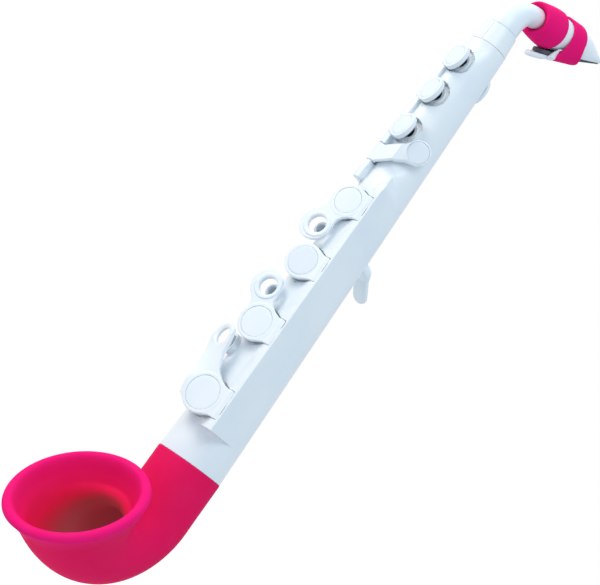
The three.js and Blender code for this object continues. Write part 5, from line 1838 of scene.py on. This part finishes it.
@dataclass
class NeckCollar:
    """The short cone between tube and neck, with two fine ribs on its front."""

    low: float = 318.06
    high: float = 332.8
    top_radius: float = 11.2
    rib: float = 0.9
    rib_height: float = 0.5
    spacing: float = 2.2
    bore: float = 8.5
    socket: float = 9.9
    socket_top: float = 324.3

    def build(self) -> None:
        """Makes the collar."""
        slope = (self.top_radius - TUBE.top_radius) / (self.high - self.low)
        ring = cone(TUBE.top_radius, self.top_radius, self.low, self.high, 0.4)

        def rib(middle: float) -> Form:
            """One rib, which follows the cone.

            Args:
                middle: Its place across the front.

            Returns:
                The form.
            """
            def distance(x: Array, y: Array, z: Array) -> Array:
                """Distance to the rib.

                Args:
                    x, y, z: The points.

                Returns:
                    Their distances.
                """
                out = np.hypot(x, y) - TUBE.top_radius - slope * (z - self.low) - self.rib_height
                side = np.maximum(np.abs(x - middle) - self.rib / 2, y)
                ends = np.maximum(self.low + self.rib - z, z - self.high + self.rib)
                return round_max(round_max(out, side, 0.3), ends, 0.3)
            return Form(distance)

        for middle in (-self.spacing / 2, self.spacing / 2):
            ring = ring.join(rib(middle), 0.25)
        ring = ring.cut(shaft(self.bore, -FAR, 2 * self.high)).cut(shaft(self.socket, -FAR, self.socket_top))
        net = skin(ring, (-13, -13.5, self.low), (13, 13, self.high), 0.38)
        set_piece("collar_cone", net, "body", "neck_collar", PLASTIC)


@dataclass
class Neck:
    """The bent tube, with its plug in the collar, its sealing ring and its tenon in the mouthpiece."""

    seam: float = 332.8
    base: float = 333.1
    bend: float = 24.8
    turn: float = 75.0
    low_radius: float = 10.5
    end_radius: float = 6.9
    plug: float = 8.2
    plug_length: float = 7.4
    shoulder: float = 6.2
    tenon: float = 6.5
    tenon_length: float = 22.0
    bore: float = 4.8
    edge: float = 0.35
    chamfer: float = 0.4
    groove_half: float = 0.65
    groove_depth: float = 0.8
    seal_inset: float = 0.4
    seal_radius: float = 0.35
    steps: int = 40
    sides: int = 72

    def at(self, angle: float) -> Array:
        """Place on the bent axis at an angle."""
        return np.array([0, self.bend * (1 - math.cos(angle)), self.base + self.bend * math.sin(angle)])

    @property
    def mouth_place(self) -> Place:
        """Frame at the neck's end: X as before, Y down to the reed, Z towards the tip."""
        c, s = math.cos(math.radians(self.turn)), math.sin(math.radians(self.turn))
        return Place.of((1, 0, 0), (0, c, -s), (0, s, c), self.at(math.radians(self.turn)))

    def _ring(self, middle: Array, angle: float, radius: float) -> Array:
        """A round of points square to the axis where it has turned by an angle."""
        return round_ring(middle, radius, (0, math.cos(angle), -math.sin(angle)), self.sides)

    def _low_ring(self, height: float, radius: float) -> Array:
        """A round of points about the tube's axis."""
        return self._ring(np.array([0, 0, height]), 0, radius)

    def build(self) -> None:
        """Makes the neck and its sealing ring."""
        full, steps = math.radians(self.turn), self.steps
        low, seal = self.seam - self.plug_length, self.seam - self.plug_length / 2
        end, ahead = self.at(full), np.array([0, math.sin(full), math.cos(full)])
        groove = self.plug - self.groove_depth
        outside = [(low, self.bore + 0.01), (low, self.plug - self.chamfer), (low + self.chamfer, self.plug)]
        outside += [(seal - self.groove_half, self.plug), (seal - self.groove_half, groove)]
        outside += [(seal + self.groove_half, groove), (seal + self.groove_half, self.plug)]
        outside += [(self.base, self.plug), (self.base, self.low_radius - self.edge)]
        outside += [(self.base + 0.1, self.low_radius - 0.1), (self.base + self.edge, self.low_radius)]
        rings = [self._low_ring(height, radius) for height, radius in outside]
        for k in range(1, steps + 1):
            share = k / steps
            ease = float(smooth_step(np.array(share)))
            radius = self.low_radius + (self.end_radius - self.low_radius) * ease
            rings.append(self._ring(self.at(full * share), full * share, radius))
        tenon = [(self.shoulder, self.end_radius), (self.shoulder, self.tenon)]
        tenon += [(self.tenon_length - self.chamfer, self.tenon)]
        tenon += [(self.tenon_length, self.tenon - self.chamfer), (self.tenon_length, self.bore)]
        for along, radius in tenon:
            rings.append(self._ring(end + ahead * along, full, radius))
        for k in range(steps, -1, -1):
            rings.append(self._ring(self.at(full * k / steps), full * k / steps, self.bore))
        set_piece("neck_bend", loft(rings), "neck", "neck", PLASTIC)
        angles = np.linspace(0, 2 * math.pi, 12, endpoint=False)
        middle, thick = self.plug - self.seal_inset, self.seal_radius
        ring = [(middle + thick * math.cos(a), seal + thick * math.sin(a)) for a in angles]
        set_piece("neck_seal_ring", turned(ring, 64), "neck", "neck_seal", RUBBER)


# Mouthpiece

def bright_marks(net: Net) -> dict[str, Array]:
    """Marks that give a whole piece the pink of the bell's painted lip highlight as its flat colour, with no
    painted shade.
    """
    return {"lip": np.ones(len(net.points)), "depth": np.zeros(len(net.points))}


@dataclass
class Mouthpiece:
    """Mouthpiece with its sleeve, reed, clip and band, in the frame at the neck's end."""

    place: Place
    length: float = 78.0
    radius: float = 11.6
    beak: float = 50.0
    curve: float = 1.7
    tip_half: float = 8.0
    tip_depth: float = 0.9
    tip_drop: float = 1.3
    sleeve_length: float = 21.3
    sleeve_rim: float = 11.4
    sleeve_far: float = 13.6
    shank: float = 9.2
    reed_half: float = 6.3
    reed_depth: float = 2.7
    reed_tip: float = 0.5
    vamp: float = 50.0
    clip_half: float = 5.4
    clip_depth: float = 3.6
    clip_tip: float = 0.9
    clip_fall: tuple[float, float] = (19.0, 30.0)
    clip_wall: float = 1.8
    clip_floor: float = 1.4
    band_wall: float = 1.42
    band_low: float = 29.6
    band_high: float = 45.6

    def table(self, along: Array | float) -> Array | float:
        """How far the flat table lies below the axis."""
        slope = (self.sleeve_far - 0.25 - self.tip_drop) / (self.length - self.sleeve_length)
        return self.tip_drop + (self.length - along) * slope

    def reed_low(self, along: Array | float) -> Array | float:
        """Underside of the reed below the axis."""
        vamp = np.maximum(np.asarray(along) - self.vamp, 0) / (self.length - self.vamp)
        return self.table(along) + GAP + self.reed_depth + (self.reed_tip - self.reed_depth) * vamp

    def clip_low(self, along: Array | float) -> Array | float:
        """Underside of the clip below the axis.

        Args:
            along: Distance from the neck's end.

        Returns:
            The distance.
        """
        start, end = self.clip_fall
        share = smooth_step((np.asarray(along) - start) / (end - start))
        return self.reed_low(along) + GAP + self.clip_depth + (self.clip_tip - self.clip_depth) * share

    def _shell(self, x: Array, y: Array, z: Array) -> Array:
        """Distance to the round body and the beak.

        Args:
            x, y, z: The points.

        Returns:
            Their distances.
        """
        share = np.maximum(z - self.beak, 0) / (self.length - self.beak)
        ease = smooth_step(share)
        crown = self.radius - 0.08
        top = -crown + (crown + self.tip_drop - self.tip_depth) * np.minimum(share, 1.1) ** self.curve
        low = self.radius + (self.table(z) + 1 - self.radius) * ease
        wide = self.radius + (self.tip_half - self.radius) * ease
        middle, half = (top + low) / 2, np.maximum((low - top) / 2, 0.3)
        size = np.hypot(x / wide, (y - middle) / half)
        slope = np.hypot(x / wide ** 2, (y - middle) / half ** 2)
        side = size * (size - 1) / np.maximum(slope, 1e-4)
        return round_max(side, np.maximum(self.sleeve_length + GAP - z, z - self.length), 0.3)

    def _body(self) -> None:
        """Makes the mouthpiece."""
        whole = Form(self._shell).join(shaft(self.shank, 6.5, self.sleeve_length + 1.3, 0.3))
        table = Form(lambda x, y, z: self.table(z) - y)
        whole = whole.cut(table, 0.3)
        whole = whole.cut(shaft(6.8, -1, 23, 0.2)).cut(shaft(5.4, 22, 46, 0.4))
        window = block((-4.6, 0, 42), (4.6, FAR, 72), 0.6)
        floor = Form(lambda x, y, z: self.table(z) - 9 + np.maximum(z - self.vamp, 0) * 0.42 - y)
        whole = whole.cut(window.common(floor), 0.15)
        net = skin(whole, (-12.2, -12.2, 6), (12.2, 14, 78.5), 0.45)
        set_piece("mouthpiece_beak", net.moved(self.place), "mouthpiece", "mouthpiece", PLASTIC)

    def _sleeve(self) -> None:
        """Makes the sleeve with its open rim around the neck."""
        bore, socket = 7.05, self.shank + GAP
        rim = [(bore, 3.5), (bore + 0.2, 3.2), (7.9, 2.5), (8.8, 1.6), (9.6, 0.8), (10.1, 0.45)]
        rim += [(10.6, 0.4), (11.05, 0.65), (11.35, 1.2)]
        far, start, steps = self.sleeve_far - 0.08, rim[-1][1], 24
        grown = far - self.sleeve_rim
        outer = []
        for k in range(1, steps + 1):
            share = k / steps
            along = start + (self.sleeve_length - start) * share
            outer.append((self.sleeve_rim + grown * math.sin(share * math.pi / 2), min(along, 20.7)))
        end = [(far - 0.18, 21.12), (far - 0.6, self.sleeve_length)]
        end += [(socket, self.sleeve_length), (socket, 6.2), (bore, 6.2)]
        net = turned(rim + outer + end, 96)
        net.marks = bright_marks(net)
        set_piece("shank_sleeve_grip", net.moved(self.place), "sleeve", "shank_sleeve", SILICONE)

    def _strip(self, half: float, low: float, high: float, low_round: float, high_round: float) -> Plan:
        """Outline of a strip along the mouthpiece with rounded ends.

        Args:
            half: Half its width.
            low: Its lower end.
            high: Its upper end.
            low_round: Radius of the lower corners.
            high_round: Radius of the upper corners.

        Returns:
            The outline.
        """
        def distance(x: Array, z: Array) -> Array:
            """Distance to the strip."""
            start = round_max(np.abs(x) - half, low - z, low_round)
            return round_max(start, z - high, high_round)
        return distance

    def _reed(self) -> None:
        """Makes the reed."""
        outline = self._strip(self.reed_half, 17, self.length - GAP, 5.4, 3.6)

        def distance(x: Array, y: Array, z: Array) -> Array:
            """Distance to the reed, whose face is slightly crowned.

            Args:
                x, y, z: The points.

            Returns:
                Their distances.
            """
            crown = 0.25 * (x / self.reed_half) ** 2
            thick = np.maximum(self.table(z) + GAP - y, y + crown - self.reed_low(z))
            return round_max(outline(x, z), thick, 0.25)

        net = skin(Form(distance), (-6.6, 0.5, 16.5), (6.6, 18.5, 78), 0.36)
        set_piece("reed_blade", net.moved(self.place), "mouthpiece", "reed", RESIN)

    def _clip(self) -> None:
        """Makes the clip with its tab and its two arms."""
        outline = self._strip(self.clip_half, 10, 44, 5.0, 0.9)

        def tongue(x: Array, y: Array, z: Array) -> Array:
            """Distance to the tongue under the reed."""
            boat = round_max(outline(x, z), y - self.clip_low(z), 0.5 + 1.4 * smooth_step((26 - z) / 6))
            return round_max(boat, self.reed_low(z) + GAP - y, 0.3)

        hold, wall, start = self.radius + 2 * GAP, self.clip_wall, self.sleeve_length + GAP
        inside = self.reed_half + GAP
        floor, table = float(self.reed_low(start)) + GAP, float(self.table(start))
        arc = [math.radians(a) for a in (70, 62, 55, 47, 40)]
        near, far = ([(r * math.sin(a), r * math.cos(a)) for a in arc] for r in (hold, hold + wall))
        inner = near + [(inside, table), (inside, floor)]
        under = floor + self.clip_floor
        outer = [(inside, under), (inside + wall, under - wall), (inside + wall, table)] + far[::-1]
        mirrored = [(-x, y) for x, y in inner[::-1]] + [(-x, y) for x, y in outer[::-1]]
        section = polygon(inner + mirrored + outer)

        def arm(x: Array, y: Array, z: Array) -> Array:
            """Distance to the arms, which narrow as they rise from the tongue."""
            rising = 0.78 * (start + 0.8 * np.maximum(floor - y, 0) - z)
            return round_max(section(x, y), np.maximum(rising, z - start - 6.6), 0.4)

        net = skin(Form(tongue).join(Form(arm), 0.5), (-14, 3, 9.5), (14, 23, 44.5), 0.36)
        set_piece("reed_clip_spring", net.moved(self.place), "mouthpiece", "reed_clip", PLASTIC)

    def _band(self) -> None:
        """Makes the soft band over mouthpiece, reed and clip."""
        def hoop(offset: float) -> Field:
            """Distance to the section of the band, grown by an offset.

            Args:
                offset: The offset.

            Returns:
                The distance as a function of three coordinates.
            """
            def distance(x: Array, y: Array, z: Array) -> Array:
                """Distance to the section.

                Args:
                    x, y, z: The points.

                Returns:
                    Their distances.
                """
                radius = self.radius + GAP + offset
                low = self.clip_low(np.clip(z, 28, 52)) + GAP + offset
                foot = 6.2 + offset
                arch = np.hypot(x, np.minimum(y, 0)) - radius
                run = np.stack(np.broadcast_arrays(np.full_like(low, foot - radius), low - radius / 2))
                size = np.hypot(run[0], run[1])
                lean = ((np.abs(x) - radius) * run[1] - (y - radius / 2) * run[0]) / size
                edge = 1.2 + offset
                return round_max(round_max(arch, lean, edge), y - low, edge)
            return distance

        outer, inner = hoop(self.band_wall), hoop(0.0)

        def distance(x: Array, y: Array, z: Array) -> Array:
            """Distance to the band.

            Args:
                x, y, z: The points.

            Returns:
                Their distances.
            """
            far = z - self.band_high - 0.042 * np.maximum(y, 0) ** 2
            ends = np.maximum(self.band_low - 0.13 * y - z, far * 0.75)
            wall = round_max(outer(x, y, z), ends, 0.6)
            return round_max(wall, -inner(x, y, z), 0.3)

        net = skin(Form(distance), (-14, -14, 26), (14, 20, 60), 0.42)
        net.marks = bright_marks(net)
        set_piece("reed_band_hoop", net.moved(self.place), "mouthpiece", "reed_band", SILICONE)

    def build(self) -> None:
        """Makes all pieces of the mouthpiece."""
        self._body()
        self._sleeve()
        self._reed()
        self._clip()
        self._band()


# Bell

@dataclass
class Bell:
    """The bell of soft silicone: a sleeve over the tube's tenon, a bend and a flare with a rolled lip."""

    sleeve: float = 22.22
    sleeve_length: float = 34.0
    bend: float = 33.8
    turn: float = 127.3
    mouth: float = 14.8
    rim: float = 42.95
    wall: float = 4.02
    lip: float = 3.3
    lip_flat: float = 0.8
    roll: float = 10.0
    flare: float = 4.0
    thicker: float = 2.0
    thick_from: float = 60.0
    thick_run: float = 60.0
    sides: int = 128

    @property
    def path(self) -> float:
        """Length of the axis from the seam to the rim."""
        return self.sleeve_length + self.bend * math.radians(self.turn) + self.mouth

    def axis(self, distance: float) -> tuple[Array, float]:
        """Follows the axis.

        Args:
            distance: Distance from the seam.

        Returns:
            The place there, and the angle by which the axis has turned.
        """
        angle = min(max((distance - self.sleeve_length) / self.bend, 0), math.radians(self.turn))
        straight = distance - angle * self.bend
        first = min(straight, self.sleeve_length)
        spot = np.array([0, self.bend * (math.cos(angle) - 1), -first - self.bend * math.sin(angle)])
        return spot + (straight - first) * np.array([0, -math.sin(angle), -math.cos(angle)]), angle

    def radius(self, distance: float) -> float:
        """Outer radius at a distance from the seam."""
        return self.sleeve + (self.rim - self.sleeve) * (distance / (self.path - self.lip)) ** self.flare

    def _ring(self, distance: float, radius: float) -> Array:
        """A round of points square to the axis."""
        spot, angle = self.axis(distance)
        return round_ring(spot, radius, (0, -math.cos(angle), math.sin(angle)), self.sides)

    def build(self) -> None:
        """Makes the bell."""
        def inside(along: float) -> float:
            """Inner radius at a distance from the seam, where the wall thickens on its way."""
            share = float(smooth_step(np.array((along - self.thick_from) / self.thick_run)))
            return self.radius(along) - self.wall - self.thicker * share

        start = self.path - self.lip
        # Each row holds distance, radius, the lip mark of the painted lip highlight and the depth mark of the
        # painted shade inside.
        profile: list[tuple[float, float, float, float]] = []
        near = 0.06
        seam = [(near, TUBE.tenon + GAP), (near, self.sleeve - 0.5)]
        seam += [(near + 0.1, self.sleeve - 0.15), (near + 0.4, self.sleeve)]
        profile += [(d, r, 0, 0) for d, r in seam]
        # The painted lip highlight starts on the last few rings of the outside.
        for share in np.linspace(0.01, 1, 70):
            distance = GAP + (start - GAP) * share
            profile.append((distance, self.radius(distance), max(0, (share - 0.93) / 0.07), 0))
        for angle in np.radians(np.linspace(9, 90, 10)):
            inward = self.lip * (1 - math.cos(angle))
            profile.append((start + self.lip * math.sin(angle), self.rim - inward, 1, 0))
        edge, foot = start + self.lip, start + self.lip - self.roll
        fall = (inside(foot) - inside(foot - 1)) * 4
        crest = self.rim - self.lip
        drawn = np.array([(edge, crest - self.lip_flat), (edge, crest - 3.6),
                          (foot + 4, inside(foot) + fall), (foot, inside(foot))])
        for t in np.linspace(0, 1, 18)[:-1]:
            weights = np.array([(1 - t) ** 3, 3 * t * (1 - t) ** 2, 3 * t * t * (1 - t), t ** 3])
            spot = weights @ drawn
            profile.append((spot[0], spot[1], 1 - 0.75 * t, 0.0))
        deepest = TUBE.tenon_length + GAP
        for share in np.linspace(1, 0, 70):
            distance = deepest + (foot - deepest) * share
            # The depth mark for the painted inside shade rises over the first third of the way in; the lip
            # highlight fades just inside the lip.
            lip, depth = max(0, 0.25 - 4 * (1 - share)), min(1, (1 - share) / 0.35)
            profile.append((distance, inside(distance), lip, depth))
        profile.append((deepest, TUBE.tenon + GAP, 0, 1))
        net = loft([self._ring(distance, radius) for distance, radius, _, _ in profile])
        # Keeps the marks of the painted lip highlight and the painted inside shade on the points.
        for column, word in ((2, "lip"), (3, "depth")):
            net.marks[word] = np.repeat([row[column] for row in profile], self.sides)
        set_piece("bell_flare", net, "bell", "bell", SILICONE)


# Studio

@dataclass(frozen=True)
class Lamp:
    """A soft square lamp: its place in metres, its width, its power and its tint."""

    name: str
    spot: Point
    width: float
    power: float
    tint: tuple[float, float, float] = (1.0, 1.0, 1.0)


@dataclass
class Studio:
    """Camera, floor, lamps and the white around the object."""

    azimuth: float = 41.5
    elevation: float = -8.33
    roll: float = 35.71
    distance: float = 1175.7
    lens: float = 115.63
    aim: Point = (0.0, 0.0, 124.2)
    sideways: float = -6.5
    sensor: float = 36.0
    clip: tuple[float, float] = (0.05, 50.0)
    floor: float = -0.46
    floor_half: float = 6.0
    floor_seen: tuple = (0.82, 0.82, 0.82, 1)
    floor_glow: float = 0.55
    floor_dull: tuple = (0.74, 0.75, 0.76, 1)
    ambient: float = 0.7
    ambient_tint: tuple = (0.76, 0.9, 1.0, 1)
    white: tuple = (1, 1, 1, 1)
    lamps: tuple[Lamp, ...] = (
        Lamp("front_lamp", (-0.75, -1.0, 0.85), 0.7, 12.0, (1.0, 0.87, 0.75)),
        Lamp("side_lamp", (0.95, -0.85, 1.05), 0.8, 7.6, (0.98, 0.99, 1.0)),
        Lamp("top_lamp", (0.1, 0.45, 1.5), 0.9, 1.7),
    )

    def camera(self) -> None:
        """Sets the camera at the photograph's angle."""
        az, el, roll = (math.radians(a) for a in (self.azimuth, self.elevation, self.roll))
        back = np.array([math.sin(az) * math.cos(el), -math.cos(az) * math.cos(el), math.sin(el)])
        level = np.array([math.cos(az), math.sin(az), 0.0])
        upright = np.cross(back, level)
        right = math.cos(roll) * level + math.sin(roll) * upright
        up = -math.sin(roll) * level + math.cos(roll) * upright
        spot = np.array(self.aim) + self.sideways * level + back * self.distance
        spot = (spot - np.array(TUBE.hook_flat)) / PER_METRE
        data = bpy.data.cameras.new("camera")
        data.sensor_fit, data.sensor_width, data.lens = "HORIZONTAL", self.sensor, self.lens
        data.clip_start, data.clip_end = self.clip
        made = bpy.data.objects.new("camera", data)
        rows = [[float(column[k]) for column in (right, up, back, spot)] for k in range(3)]
        made.matrix_world = Matrix(rows + [[0, 0, 0, 1]])
        bpy.context.scene.collection.objects.link(made)
        bpy.context.scene.camera = made

    def light(self) -> None:
        """Hangs the lamps and whitens the world."""
        for lamp in self.lamps:
            data = bpy.data.lights.new(lamp.name, "AREA")
            data.size, data.energy, data.color = lamp.width, lamp.power, lamp.tint
            made = bpy.data.objects.new(lamp.name, data)
            made.location = lamp.spot
            made.rotation_euler = (-Vector(lamp.spot)).to_track_quat("-Z", "Y").to_euler()
            made.visible_camera = False
            bpy.context.scene.collection.objects.link(made)
        world = bpy.data.worlds.new("white_studio")
        bpy.context.scene.world = world
        sheet = NodeSheet(world)
        dim = sheet.node("ShaderNodeBackground", None, {"Color": self.ambient_tint, "Strength": self.ambient})
        white = sheet.node("ShaderNodeBackground", None, {"Color": self.white, "Strength": 1.0})
        both = sheet.node("ShaderNodeMixShader", None, {0: sheet.seen(), 1: dim, 2: white})
        sheet.node("ShaderNodeOutputWorld", None, {"Surface": both})

    def ground(self) -> None:
        """Lays the pale floor, which keeps the object's shadow and throws a duller light back on it."""
        mesh = bpy.data.meshes.new("floor")
        half = self.floor_half
        corners = [(x * half, y * half, self.floor) for x, y in ((-1, -1), (1, -1), (1, 1), (-1, 1))]
        mesh.from_pydata(corners, [], [(0, 1, 2, 3)])
        made = bpy.data.objects.new("floor", mesh)
        bpy.context.scene.collection.objects.link(made)
        sheet = NodeSheet(bpy.data.materials.new("pale_floor"))
        cloth = sheet.node("ShaderNodeBsdfDiffuse", None, {"Color": self.floor_seen})
        glow = sheet.node("ShaderNodeEmission", None, {"Color": self.white, "Strength": self.floor_glow})
        bright = sheet.node("ShaderNodeAddShader", None, {0: cloth, 1: glow})
        dull = sheet.node("ShaderNodeBsdfDiffuse", None, {"Color": self.floor_dull})
        both = sheet.node("ShaderNodeMixShader", None, {0: sheet.seen(), 1: dull, 2: bright})
        sheet.node("ShaderNodeOutputMaterial", None, {"Surface": both})
        mesh.materials.append(sheet.owner)

    def build(self) -> None:
        """Sets up the whole studio."""
        bpy.context.scene.view_settings.view_transform = "Standard"
        self.camera()
        self.light()
        self.ground()


def dress_frame() -> None:
    """Gives every CAD node that still shows its finish: the rods, the pin and the springs."""
    for name, node in frame["nodes"].items():
        if name.endswith(("_rod", "_pin", "_spring")):
            node.data.materials.clear()
            node.data.materials.append(STEEL.material())


def main() -> None:
    """Builds the saxophone and its studio."""
    logging.basicConfig(level=logging.INFO, format="%(name)s: %(message)s")
    Studio().build()
    hook, lever, thumb, neck = ThumbHook(), side_lever(), thumb_key(), Neck()
    BodyTube(lever, thumb, hook).build()
    for key in LEFT_KEYS + RIGHT_KEYS:
        key.build()
    for piece in (lever, thumb, hook, NeckCollar(), neck, Mouthpiece(neck.mouth_place), Bell()):
        piece.build()
    dress_frame()
    bpy.context.view_layer.update()


if __name__ == "__main__":
    main()
